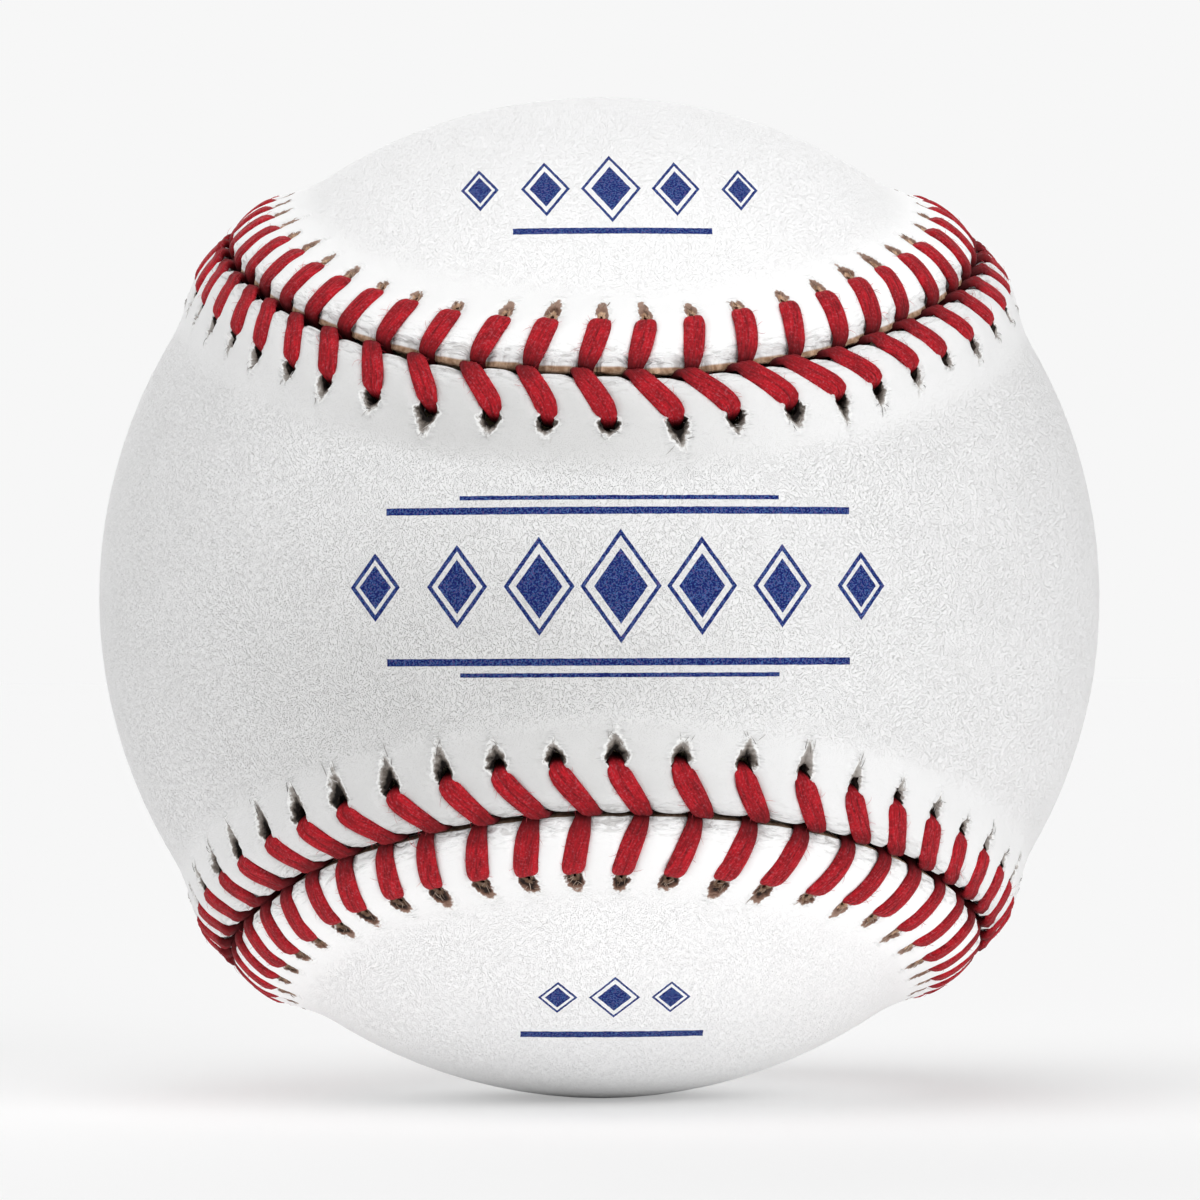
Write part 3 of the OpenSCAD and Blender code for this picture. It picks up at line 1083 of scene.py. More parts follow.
    def rim(self, outer: np.ndarray, inner: np.ndarray) -> None:
        """Close the cut edge at the seam gap, with two rows of its own.

        The lobes' edge over the upper front slants out, so that its flesh shows in the gap.

        Args:
            outer: The grain side's band.
            inner: The flesh side's band.
        """
        points = np.concatenate(self.points)
        top, bottom = outer[0], inner[0]
        q = self.q[0]
        slant = np.clip(self.relief.upper(q), 0, 1) if self.side is Side.BACK else np.zeros(len(q))
        _, _, beside = self.seam.axes(q)
        rows = [top]
        for share in self.cut_depths:
            middle = points[top] * (1 - share) + points[bottom] * share
            rough = self.edge_rough * lattice_noise(middle, self.edge_grain, self.seed)
            out = self.bevel * slant + self.edge_bulge + rough
            middle = middle - beside * (self.side.value * out)[:, None]
            rows.append(self.keep(middle, self.cut_marks(top)))
        rows.append(bottom)
        for one, two in pairwise(rows):
            self.faces += strip(one, two)

    def walls(self, outer: np.ndarray, inner: np.ndarray) -> None:
        """Join the grain side to the flesh side round every hole.

        Args:
            outer: The grain side's band.
            inner: The flesh side's band.
        """
        near, far = self.hole_rows
        first, last = self.hole_columns
        width = len(self.columns)
        loop = [(near, k) for k in range(first, last)]
        loop += [(row, last) for row in range(near, far)]
        loop += [(far, k) for k in range(last, first, -1)]
        loop += [(row, first) for row in range(far, near, -1)]
        pinches = self.wall_pinches[self.relief.panel]
        points = np.concatenate(self.points)
        draw = np.random.default_rng(self.seed + 3)
        for j in range(self.ball.stitch_count):
            top = np.array([outer[row, j * width + k] for row, k in loop])
            bottom = np.array([inner[row, j * width + k] for row, k in loop])
            centre = points[top].mean(0)
            rings = [top]
            for share, pinch in zip(self.wall_depths, pinches):
                middle = points[top] * (1 - share) + points[bottom] * share
                uneven = pinch + draw.uniform(*self.wall_spread, (len(top), 1))
                inward = (centre - points[top]) * uneven
                rings.append(self.keep(middle + inward, self.cut_marks(top)))
            rings.append(bottom)
            for one, two in pairwise(rings):
                self.faces += strip(one, two, flip=True)


# Stitching


@dataclass
class SeamThread:
    """One needle's thread: every second leg of the herringbone, as one closed ribbon."""

    ball: Ball
    seam: SeamCurve
    reliefs: dict[Side, Relief]
    first: int
    name: str
    # Width at shares of the way from the gap to the hole
    widths: tuple[tuple[float, float], ...] = (
        (0.0, 1.0), (0.09, 1.22), (0.24, 1.5), (0.5, 1.62), (0.8, 1.64), (0.94, 1.4), (1.02, 1.05),
    )
    seat: float = 0.02
    wander: float = 0.015
    width_spread: float = 0.05
    # Distances from the gap and from the hole where a leg keeps the ridge's height, its depth
    # in the groove as a share, and how it sinks towards its hole and rises at the gap
    level: tuple[float, float] = (0.5, 0.4)
    sunk: float = 0.95
    dip: float = 0.2
    dip_ends: tuple[float, float] = (0.82, 1.0)
    rise_ends: tuple[float, float] = (0.3, 0.08)
    # Half a section's places across, how square it is, and the dip between its plies
    places: tuple[float, ...] = (1.0, 0.92, 0.7, 0.42, 0.14, -0.14, -0.42, -0.7, -0.92)
    square: float = 3.2
    ply_dip: float = 0.26
    ply_width: float = 0.16
    # How far apart the fibres' patterns of two legs and of the two threads lie, and the shade
    # towards the gap
    apart: tuple[float, float] = (7.3, 3.1)
    gap_shade: float = 0.5
    shade_ends: tuple[float, float] = (0.42, 0.08)
    seed: int = 71
    # Shares of the way to the hole of a leg's rings, and how deep each has sunk
    run: tuple[tuple[float, float], ...] = (
        (0.985, 1.0), (0.98, 0.62), (0.965, 0.3), (0.945, 0.12), (0.91, 0.02), (0.86, 0.0),
        (0.78, 0.0), (0.68, 0.0), (0.58, 0.0), (0.48, 0.0), (0.38, 0.0), (0.29, 0.0),
        (0.215, 0.0), (0.145, 0.02), (0.09, 0.08), (0.045, 0.22), (0.015, 0.45), (0.0, 0.75),
        (0.0, 1.0),
    )

    def path(self) -> dict[str, np.ndarray]:
        """Lay the thread's centre line.

        Returns:
            For each ring its place, distance, radius, width, leg number, depth and share of the
            way to the hole.
        """
        draw = np.random.default_rng(self.seed + self.first)
        under_r = self.ball.coat_r + self.ball.thread_gap + self.ball.thread_t / 2
        share, deep = np.array(self.run).T
        rows = []
        for j in range(self.ball.stitch_count):
            side = Side.FRONT if (j + self.first) % 2 == 0 else Side.BACK
            relief = self.reliefs[side]
            work = relief.work
            count = np.full(len(share), float(j))
            reach = work.reach_at(count)
            u = share * reach
            tilt = draw.normal(0, self.wander)
            q = work.along(count, u) + draw.normal(0, self.wander) + tilt * np.sin(share * math.pi)
            surface = relief.lift(np.clip(u, self.level[0], reach - self.level[1]))
            surface -= relief.ridge.groove_depth * self.sunk
            surface -= self.dip * smooth(*self.dip_ends, share)
            surface += work.gap_rise * smooth(*self.rise_ends, share)
            top = self.ball.cover_r + surface + self.ball.thread_t / 2 + self.seat
            r = top * (1 - deep) + under_r * deep
            w = np.interp(share, *np.array(self.widths).T) * draw.normal(1, self.width_spread)
            rows.append([q, u * side.value, r, w, count, deep, share])
        keys = ("q", "u", "r", "w", "leg", "deep", "share")
        return dict(zip(keys, np.concatenate(rows, axis=1)))

    def axes(self, path: dict[str, np.ndarray]) -> tuple[np.ndarray, np.ndarray, np.ndarray]:
        """Centre points and the ribbon's own directions.

        Args:
            path: What path() gives.

        Returns:
            Centres, sideways and face directions.
        """
        centres = self.seam.place(path["q"], path["u"], path["r"])
        ahead = np.zeros_like(centres)
        ahead[1:-1] = centres[2:] - centres[:-2]
        ahead[0], ahead[-1] = centres[1] - centres[0], centres[-1] - centres[-2]
        ahead = unit(ahead)
        _, along, _ = self.seam.axes(path["q"])
        wide = along - ahead * (along * ahead).sum(1, keepdims=True)
        wide = unit(wide)
        return centres, wide, np.cross(ahead, wide)

    def section(self) -> np.ndarray:
        """Cross-section of two plies side by side.

        Returns:
            Its points, as shares of half width and half thickness.
        """
        across = np.array(self.places)
        body = np.sqrt(np.clip(1 - np.abs(across) ** self.square, 0, 1))
        waist = 1 - self.ply_dip * np.exp(-((across / self.ply_width) ** 2))
        top = np.stack([across, body * waist], 1)
        bottom = np.stack([-across, -body * waist], 1)
        return np.concatenate([top, bottom])

    def build(self) -> bpy.types.Object:
        """Build the thread.

        Returns:
            The thread piece.
        """
        path = self.path()
        centres, wide, face = self.axes(path)
        shape = self.section()
        size = len(shape)
        half_w = path["w"][:, None] / 2 * shape[None, :, 0]
        half_t = self.ball.thread_t / 2 * np.broadcast_to(shape[None, :, 1], half_w.shape)
        points = centres[:, None] + wide[:, None] * half_w[..., None]
        points = points + face[:, None] * half_t[..., None]
        faces = tube(np.arange(len(centres) * size).reshape(-1, size))
        steps = np.linalg.norm(np.diff(centres, axis=0), axis=1)
        length = np.concatenate([[0], np.cumsum(steps)])
        own = path["leg"][:, None] * self.apart[0] + self.first * self.apart[1]
        spread = np.broadcast_to(length[:, None], half_w.shape), np.broadcast_to(own, half_w.shape)
        fibre = np.stack([half_w, *spread], axis=-1).reshape(-1, 3)
        # Painted shade: dark where it dives, and a little dark on the way down to the gap
        shade = np.clip(path["deep"] * 2, 0, 1)
        shade = shade + self.gap_shade * smooth(*self.shade_ends, path["share"])
        marks = {"fibre": fibre, "deep": np.repeat(np.clip(shade, 0, 1), size)}
        log.info("%s is %.0f mm long", self.name, length[-1])
        name = f"{self.name}_ribbon"
        piece = outward(make_piece(name, points.reshape(-1, 3), faces, marks, sharp_degrees=70))
        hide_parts(self.name)
        return piece


@dataclass
class Strands:
    """Many short fibres as thin closed tubes, gathered into one piece."""

    sides: int = 3
    # Places along a fibre as shares of its length, and its thickness there
    places: tuple[float, ...] = (0.0, 0.3, 0.65, 1.0)
    taper: tuple[float, ...] = (1.0, 0.95, 0.7, 0.25)
    # Keeps the outward direction off that of a fibre that stands straight up
    tilt: tuple[float, float, float] = (0.013, 0.007, 0.011)
    curves: list[np.ndarray] = field(default_factory=list)
    radii: list[np.ndarray] = field(default_factory=list)
    tones: list[np.ndarray] = field(default_factory=list)

    def lay(
        self, start: np.ndarray, bend: np.ndarray, end: np.ndarray, r: float, tone: np.ndarray
    ) -> None:
        """Lay one fibre on each curve that starts, bends and ends at the given points.

        Args:
            start: First points, one row for each fibre.
            bend: Points that the fibres bend towards.
            end: Last points.
            r: Radius at the thickest place.
            tone: Value from 0 to 1 for each fibre's colour.
        """
        t = np.array(self.places)[None, :, None]
        curve = (1 - t) ** 2 * start[:, None] + 2 * t * (1 - t) * bend[:, None]
        self.curves.append(curve + t**2 * end[:, None])
        taper = np.array(self.taper)
        self.radii.append(np.broadcast_to(r * taper, (len(start), len(taper))))
        self.tones.append(tone)

    def build(self, name: str, slot: str) -> bpy.types.Object:
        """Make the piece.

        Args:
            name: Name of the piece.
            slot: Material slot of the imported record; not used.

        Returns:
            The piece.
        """
        curves, radii = np.concatenate(self.curves), np.concatenate(self.radii)
        count, steps, _ = curves.shape
        ahead = np.gradient(curves, axis=1)
        ahead = unit(ahead)
        out = unit(curves) + self.tilt
        one = np.cross(ahead, out)
        one = unit(one)
        two = np.cross(ahead, one)
        turn = 2 * math.pi * np.arange(self.sides) / self.sides
        ring = one[:, :, None] * np.cos(turn)[:, None] + two[:, :, None] * np.sin(turn)[:, None]
        points = curves[:, :, None] + ring * radii[:, :, None, None]
        numbers = np.arange(count * steps * self.sides).reshape(count, steps, self.sides)
        faces = [face for rings in numbers for face in tube(rings)]
        marks = {"tone": np.repeat(np.concatenate(self.tones), steps * self.sides)}
        piece = outward(make_piece(name, points.reshape(-1, 3), faces, marks, sharp_degrees=60))
        log.info("%s: %d fibres", name, count)
        return piece


@dataclass
class ThreadFuzz:
    """Loose cotton fibres that stand off one needle's thread."""

    thread: SeamThread
    per_leg: int = 11
    radius: float = 0.014
    reach: tuple[float, float] = (0.2, 0.8)
    # Least share of the way to the hole, height of a fibre's start, and its place across
    nearest: float = 0.12
    lift: float = 0.12
    across: tuple[float, float] = (0.55, 0.97)
    # How a fibre leans along and stands off the thread, and how it bends and curls, as shares
    lean: tuple[float, float] = (-0.9, 0.9)
    sideways: tuple[float, float] = (0.3, 1.0)
    rise: tuple[float, float] = (0.0, 0.3)
    bend: tuple[float, float] = (0.6, 0.25)
    curl: float = 0.25
    seed: int = 91

    def build(self) -> bpy.types.Object:
        """Build the fuzz.

        Returns:
            The piece.
        """
        thread = self.thread
        draw = np.random.default_rng(self.seed + thread.first)
        path = thread.path()
        centres, wide, face = thread.axes(path)
        ahead = np.cross(wide, face)
        seen = np.flatnonzero((path["deep"] == 0) & (path["share"] > self.nearest))
        picked = draw.choice(seen, thread.ball.stitch_count * self.per_leg)
        count = len(picked)
        side = draw.choice([-1.0, 1.0], count)
        across = side * draw.uniform(*self.across, count) * path["w"][picked] / 2
        out = unit(centres[picked])
        start = centres[picked] + wide[picked] * across[:, None] + out * self.lift
        length = draw.uniform(*self.reach, count)[:, None]
        lean = draw.uniform(*self.lean, count)[:, None]
        sideways = wide[picked] * (side * draw.uniform(*self.sideways, count))[:, None]
        aim = sideways + ahead[picked] * lean + out * draw.uniform(*self.rise, count)[:, None]
        bend = start + aim * length * self.bend[0] + out * length * self.bend[1]
        end = start + aim * length + ahead[picked] * draw.normal(0, self.curl, (count, 1))
        strands = Strands()
        strands.lay(start, bend, end, self.radius, draw.uniform(0, 1, count))
        return strands.build(f"{thread.name}_loose_fibres", "red_thread")


@dataclass
class HoleFray:
    """Torn flesh fibres of the leather that stick out of one panel's stitch holes."""

    relief: Relief
    per_hole: int
    radius: float
    # Where the fibres start beside the seam and how long they are, as shares of the tear
    start: tuple[float, float]
    length: tuple[float, float] = (0.35, 0.85)
    # Heights of a fibre's start, bend and end over the leather, in millimetres
    lift: tuple[float, float, float] = (-0.03, 0.07, 0.03)
    # How far fibres start from the hole's middle along the seam, turn sideways and waver
    spread: float = 0.6
    turn: float = 0.9
    waver: float = 0.12
    # How far beside the seam the bend and the end lie, as shares of the length
    outward: tuple[float, float] = (0.3, 0.6)
    seed: int = 101

    def build(self) -> bpy.types.Object:
        """Build the fibres.

        Returns:
            The piece.
        """
        relief = self.relief
        seam, work, side = relief.seam, relief.work, relief.side
        draw = np.random.default_rng(self.seed + side.value)
        hole = np.repeat(np.arange(relief.ball.stitch_count), self.per_hole).astype(float)
        count = len(hole)
        reach, tear = work.reach_at(hole), work.tear_at(hole)

        def at(across: np.ndarray, out: np.ndarray, lift: float) -> np.ndarray:
            """Points over the leather, one for each fibre.

            Args:
                across: Distances along the seam, as shares of the tear's half width.
                out: Distances beside the seam, as shares of the tear's length.
                lift: Height over the leather.

            Returns:
                Points in millimetres.
            """
            s = hole + across * relief.half_at(hole) / seam.pitch
            u = reach + out * tear
            q = work.along(s, u)
            surface = relief.height(s, q, u) + lift
            return seam.place(q, u * side.value, relief.ball.cover_r + surface)

        # Most fibres point outward, some sideways
        turn = draw.normal(0, self.turn, count)
        across = draw.uniform(-self.spread, self.spread, count)
        out = draw.uniform(*self.start, count)
        length = draw.uniform(*self.length, count)
        low, middle, high = self.lift
        waver = draw.normal(0, self.waver, count)
        bend_out, end_out = (share * length * np.cos(turn) for share in self.outward)
        start = at(across, out, low)
        bend = at(across + 0.5 * length * np.sin(turn) + waver, out + bend_out, middle)
        end = at(across + length * np.sin(turn), out + end_out, high)
        strands = Strands()
        strands.lay(start, bend, end, self.radius, draw.uniform(0, 1, count))
        return strands.build(f"cover_panel_{side.name.lower()}_frayed_fibres", "white_leather")


# Finishes of the cover


@dataclass(frozen=True)
class Rule:
    """A thin printed line across the ball, in millimetres."""

    z: float
    half: float
    thick: float = 0.5

    def mask(self, nodes: Nodes, x: Socket, z: Socket) -> Socket:
        """Mark the line.

        Args:
            nodes: The finish's nodes.
            x: Place across the ball.
            z: Place up the ball.

        Returns:
            1 inside the line and 0 outside it.
        """
        past = []
        for place, middle, half in ((z, self.z, self.thick / 2), (x, 0.0, self.half)):
            away = nodes.apart(place, middle)
            past.append(nodes.add("Math", (away, half), operation="SUBTRACT"))
        far = nodes.add("Math", tuple(past), operation="MAXIMUM")
        return nodes.add("Math", (far, 0.0), operation="LESS_THAN")


@dataclass(frozen=True)
class Lozenges:
    """A printed row of outlined lozenges, smaller from the middle outward, in millimetres."""

    z: float
    pitch: float
    beside: int
    width: float
    height: float
    shrink: float
    # Place and half width of the outline, as shares of the lozenge
    outline: tuple[float, float] = (1.42, 0.09)

    def mask(self, nodes: Nodes, x: Socket, z: Socket) -> Socket:
        """Mark the lozenges.

        Args:
            nodes: The finish's nodes.
            x: Place across the ball.
            z: Place up the ball.

        Returns:
            1 inside the lozenges and on their outlines, and 0 elsewhere.
        """
        cell = nodes.add("Math", (x, self.pitch), operation="DIVIDE")
        cell = nodes.add("Math", (cell,), operation="ROUND")
        cell = nodes.add("Clamp", (cell, -self.beside, self.beside))
        middle = nodes.add("Math", (cell, self.pitch), operation="MULTIPLY")
        shares = []
        for place, centre, full in ((z, self.z, self.height), (x, middle, self.width)):
            away = nodes.apart(place, centre)
            shares.append(nodes.add("Math", (away, full / 2), operation="DIVIDE"))
        far = nodes.add("Math", tuple(shares), operation="ADD")
        count = nodes.add("Math", (cell,), operation="ABSOLUTE")
        size = nodes.add("Math", (count, -self.shrink, 1.0), operation="MULTIPLY_ADD")
        inside = nodes.add("Math", (far, size), operation="LESS_THAN")
        away = nodes.add("Math", (size, self.outline[0]), operation="MULTIPLY")
        away = nodes.add("Math", (far, away, self.outline[1]), operation="COMPARE")
        return nodes.add("Math", (inside, away), operation="MAXIMUM")


@dataclass(frozen=True)
class Hide:
    """White full-grain cowhide, alum tanned and pressed.

    It looks soft and matt, with a low grain and sparse fine pits, which are pulled flat beside
    the stitches. Its flesh is brown where it is cut or torn, and the stitch holes hold painted
    shade.
    """

    name: str
    light: str
    shade: str
    flesh_light: str
    flesh_dark: str
    # The tears' colours from their point to the thread, ending in the hole's painted shade, and of
    # their raised lip
    tear: tuple[str, str, str]
    lip: str
    prints: tuple[Rule | Lozenges, ...]
    # Depth of the grain, in millimetres, and shares of painted shade in its pits, beside the
    # stitches and in a patch low on the front
    grain: float
    pit_shade: float
    seam_shade: float
    patch_shade: float
    painted_shade_grey: str = "#a9a8a5"
    # Middle of the painted shade by the stitches across the ball, and of the painted shade
    # patch, in millimetres
    seam_shade_place: float = -7.0
    patch_shade_place: tuple[float, float, float] = (-10.0, -32.5, -12.5)
    crease_shade: str = "#8c857f"
    ink: str = "#172269"
    ink_speck: str = "#4b7ab2"
    ink_warm: str = "#51276b"
    rough: float = 0.7
    specular: float = 0.1
    # Sizes in millimetres: pits of the pressed grain, its tooth, slow tone, wrinkles with their
    # depth, the tear's edge and grains of ink
    pit: tuple[float, float, float] = (0.42, 0.38, 0.38)
    tooth: float = 0.45
    cloud: float = 6.0
    wrinkle: tuple[float, float, float] = (1.2, 1.2, 0.34)
    wrinkle_depth: float = 0.6
    ragged: float = 0.42
    speck: float = 0.13
    # How the pattern of pits is turned, the tooth's share of the grain, and the wrinkles' twist
    pit_turn: tuple[float, float, float] = (0.3, 0.7, 0.2)
    tooth_share: float = 0.5
    wrinkle_twist: float = 0.6
    # Edges of the pits, grain left by stretching, the pits' painted shade from left to right, and
    # puckers round a tear
    pit_edge: Ramp = (0.08, 0.42)
    loose: Ramp = (0.0, 1.0, 1.0, 0.2)
    shaded_left: Ramp = (-20.0, 20.0, 1.0, 0.2)
    pucker: Ramp = (-0.95, -0.1, 0.0, 0.6)
    # Painted shade in the folds and on the walls of dark holes, and where the painted shade beside
    # the stitches and in the patch fades
    fold_shade: Ramp = (0.46, 0.34, 0.0, 0.4)
    wall_shade: Ramp = (0.55, 1.1, 0.0, 0.85)
    seam_shade_ends: tuple[float, float] = (6.0, 22.0)
    patch_shade_ends: tuple[float, float] = (6.0, 27.0)
    # Fibres of the flesh in a millimetre, their two tones, and the edge of the cut leather
    flesh_fibres: float = 2.6
    flesh_tone: Ramp = (0.38, 0.62)
    cut_edge: Ramp = (0.2, 0.5)
    # A tear's ragged outline, its lip, and the steps from its point to its core
    tear_rag: Ramp = (0.3, 0.7, -0.18, 0.18)
    tear_lip: Ramp = (-0.26, -0.1, 0.0, 0.7)
    tear_edge: Ramp = (-0.06, 0.14)
    tear_steps: tuple[Ramp, Ramp] = ((0.05, 0.5), (0.42, 0.76))
    tear_core: float = 0.42
    # Waves in a millimetre of the shaken print and their size, where it ends, and its specks
    shakes: float = 2.5
    shake_size: float = 0.07
    print_end: float = -10.0
    ink_specks: Ramp = (0.47, 0.6, 0.0, 1.0)
    warm_specks: Ramp = (0.54, 0.64, 0.0, 0.8)

    def make(self) -> bpy.types.Material:
        """Make the finish.

        Returns:
            The material.
        """
        nodes = Nodes(bpy.data.materials.new(self.name))
        mm = nodes.millimetres()
        worn = nodes.add("Attribute", attribute_name="worn", out="Fac")
        torn = nodes.add("Attribute", attribute_name="torn", out="Vector")
        torn = nodes.add("SeparateXYZ", (torn,), out="X").node
        inside, near, dark = torn.outputs
        pits = self.pits(nodes, mm)
        folds = self.folds(nodes)
        shallow = nodes.add("TexNoise", {"Vector": mm, "Scale": 1 / self.tooth, "Detail": 0.0})
        height = nodes.add("Math", (shallow, self.tooth_share, pits), operation="MULTIPLY_ADD")
        # Stretching has pulled the grain flat beside the stitches
        taut = nodes.add("Attribute", attribute_name="taut", out="Fac")
        loose = nodes.add("MapRange", (taut, *self.loose))
        height = nodes.add("Math", (height, loose), operation="MULTIPLY")
        fine = nodes.add("Bump", {"Height": height, "Distance": self.grain * MM, "Strength": 1.0})
        # Folds gather at the cut edge and round the tears
        pucker = nodes.add("MapRange", (inside, *self.pucker), **EASED)
        gathered = nodes.add("Math", (worn, pucker), operation="MAXIMUM")
        height = nodes.add("Math", (folds, 0.5), operation="SUBTRACT")
        height = nodes.add("Math", (height, gathered), operation="MULTIPLY")
        bump = {"Height": height, "Distance": self.wrinkle_depth * MM, "Normal": fine}
        bump = nodes.add("Bump", {**bump, "Strength": 1.0})
        cloud = nodes.add("TexNoise", {"Vector": mm, "Scale": 1 / self.cloud, "Detail": 4.0})
        base = nodes.add("Mix", {0: cloud, 6: colour(self.shade), 7: colour(self.light)}, **RGBA)
        base = self.printed(nodes, mm, base)
        base = self.paint_shade(nodes, mm, base, (pits, folds, loose, worn, taut))
        base = self.tears(nodes, mm, base, (inside, near, dark))
        flesh = self.cut_leather(nodes, mm, dark)
        cut = nodes.add("Attribute", attribute_name="cut", out="Fac")
        cut = nodes.add("MapRange", (cut, *self.cut_edge), **EASED)
        base = nodes.add("Mix", {0: cut, 6: base, 7: flesh}, **RGBA)
        return nodes.finish(base, self.rough, self.specular, bump)

    def paint_shade(self, nodes: Nodes, mm: Socket, base: Socket, marks: tuple[Socket, ...]) -> Socket:
        """Painted shade in the pits and creases, beside the stitches and in a patch low on the
        front.

        Args:
            nodes: The finish's nodes.
            mm: Place in millimetres.
            base: Colour of the leather.
            marks: Pits, folds, looseness, wear and stretch of the leather.

        Returns:
            Colour with the painted shade on it.
        """
        pits, folds, loose, worn, taut = marks
        # Pits and creases get a little painted shade, stronger in the pits on the ball's left
        pits_and_folds_shade = nodes.add("MapRange", (pits, 1.0, 0.0, 0.0, self.pit_shade))
        pits_and_folds_shade = nodes.add("Math", (pits_and_folds_shade, loose), operation="MULTIPLY")
        across = nodes.add("SeparateXYZ", (mm,), out="X")
        shaded_left = nodes.add("MapRange", (across, *self.shaded_left))
        pits_and_folds_shade = nodes.add("Math", (pits_and_folds_shade, shaded_left), operation="MULTIPLY")
        deep = nodes.add("MapRange", (folds, *self.fold_shade), **EASED)
        deep = nodes.add("Math", (deep, worn), operation="MULTIPLY")
        pits_and_folds_shade = nodes.add("Math", (pits_and_folds_shade, deep), operation="MAXIMUM")
        # Painted shade greys the leather by the middle stitches, but not its worn edge at the gap,
        # and a painted shade patch lies low on the front
        clean = nodes.add("Math", (1.0, worn), operation="SUBTRACT")
        # Painted shade beside the middle stitches, fading across the ball
        grey = nodes.add("Math", (clean, taut), operation="MULTIPLY")
        away = nodes.apart(across, self.seam_shade_place)
        seam_shaded = nodes.add("MapRange", (away, *self.seam_shade_ends, self.seam_shade, 0.0))
        grey = nodes.add("Math", (grey, seam_shaded), operation="MULTIPLY")
        # A painted shade patch low on the front, left of the middle
        patch = nodes.add("VectorMath", (mm, self.patch_shade_place), out="Value", operation="DISTANCE")
        patch = nodes.add("MapRange", (patch, *self.patch_shade_ends, self.patch_shade, 0.0), **EASED)
        grey = nodes.add("Math", (grey, patch), operation="MAXIMUM")
        for share, shade_tone in ((pits_and_folds_shade, self.crease_shade), (grey, self.painted_shade_grey)):
            base = {0: share, 6: base, 7: colour(shade_tone)}
            base = nodes.add("Mix", base, blend_type="MULTIPLY", **RGBA)
        return base

    def cut_leather(self, nodes: Nodes, mm: Socket, dark: Socket) -> Socket:
        """Flesh that shows where the leather is cut or torn.

        Args:
            nodes: The finish's nodes.
            mm: Place in millimetres.
            dark: Darkness of the nearest hole.

        Returns:
            Its colour.
        """
        flesh = nodes.add("TexNoise", {"Vector": mm, "Scale": self.flesh_fibres, "Detail": 5.0})
        flesh = nodes.add("MapRange", (flesh, *self.flesh_tone))
        flesh = {0: flesh, 6: colour(self.flesh_dark), 7: colour(self.flesh_light)}
        flesh = nodes.add("Mix", flesh, **RGBA)
        # Where the holes are dark, their walls and the gap are painted darker too: painted shade
        darkened = nodes.add("MapRange", (dark, *self.wall_shade))
        return nodes.add("Mix", {0: darkened, 6: flesh, 7: colour(self.tear[2])}, **RGBA)

    def pits(self, nodes: Nodes, mm: Socket) -> Socket:
        """Height of the grain with its sparse pits, 0 in a pit and 1 beside it.

        Args:
            nodes: The finish's nodes.
            mm: Place in millimetres.

        Returns:
            The height.
        """
        scale = tuple(1 / size for size in self.pit)
        turned = {"Vector": mm, "Rotation": self.pit_turn, "Scale": scale}
        turned = nodes.add("Mapping", turned)
        pits = nodes.add("TexVoronoi", {"Vector": turned}, feature="F1")
        return nodes.add("MapRange", (pits, *self.pit_edge), **EASED)

    def folds(self, nodes: Nodes) -> Socket:
        """Wrinkles that run beside the seam.

        Args:
            nodes: The finish's nodes.

        Returns:
            Their height.
        """
        lay = nodes.add("Attribute", attribute_name="lay", out="Vector")
        scale = tuple(1 / size for size in self.wrinkle)
        lay = nodes.add("Mapping", {"Vector": lay, "Scale": scale})
        wave = {"Vector": lay, "Scale": 1.0, "Detail": 3.0}
        return nodes.add("TexNoise", {**wave, "Distortion": self.wrinkle_twist})

    def tears(self, nodes: Nodes, mm: Socket, base: Socket, torn: tuple[Socket, ...]) -> Socket:
        """Stitch holes painted dark as their shade, with a ragged outline and a pale lip.

        Args:
            nodes: The finish's nodes.
            mm: Place in millimetres.
            base: Colour of the leather.
            torn: Share inside the tear, nearness to the thread, and darkness of the hole.

        Returns:
            Colour with the tears on it.
        """
        inside, near, dark = torn
        rough = nodes.add("TexNoise", {"Vector": mm, "Scale": 1 / self.ragged, "Detail": 3.0})
        rough = nodes.add("MapRange", (rough, *self.tear_rag))
        edge = nodes.add("Math", (inside, rough), operation="ADD")
        # On the waist the lip is painted paler than the leather round it: a painted highlight
        lip = nodes.add("MapRange", (edge, *self.tear_lip), **EASED)
        base = nodes.add("Mix", {0: lip, 6: base, 7: colour(self.lip)}, **RGBA)
        # Painted shade: the hole is black in the middle, and the torn flesh round it pale at the
        # outline
        depth = nodes.add("Math", (near, self.tear_core, edge), operation="MULTIPLY_ADD")
        depth = nodes.add("Math", (depth, dark), operation="MULTIPLY")
        tone, middle, core = (colour(part) for part in self.tear)
        for step, deeper in zip(self.tear_steps, (middle, core)):
            share = nodes.add("MapRange", (depth, *step))
            tone = nodes.add("Mix", {0: share, 6: tone, 7: deeper}, **RGBA)
        mask = nodes.add("MapRange", (edge, *self.tear_edge), **EASED)
        return nodes.add("Mix", {0: mask, 6: base, 7: tone}, **RGBA)

    def printed(self, nodes: Nodes, mm: Socket, base: Socket) -> Socket:
        """Blue stamped ornament on the side that faces the front.

        Args:
            nodes: The finish's nodes.
            mm: Place in millimetres.
            base: Colour of the leather.

        Returns:
            Colour with the ink on it.
        """
        # The stamp's edge follows the grain, so the pattern is shaken a little
        shake = {"Vector": mm, "Scale": self.shakes, "Detail": 2.0}
        shake = nodes.add("TexNoise", shake, out="Color")
        shake = nodes.add("VectorMath", (shake, (0.5, 0.5, 0.5)), operation="SUBTRACT")
        shake = nodes.add("VectorMath", {0: shake, "Scale": self.shake_size}, operation="SCALE")
        shaken = nodes.add("VectorMath", (mm, shake), operation="ADD")
        x, y, z = nodes.add("SeparateXYZ", (shaken,)).node.outputs
        total = nodes.add("Math", (y, self.print_end), operation="LESS_THAN")
        masks = [part.mask(nodes, x, z) for part in self.prints]
        pattern = masks[0]
        for mask in masks[1:]:
            pattern = nodes.add("Math", (pattern, mask), operation="MAXIMUM")
        total = nodes.add("Math", (total, pattern), operation="MULTIPLY")
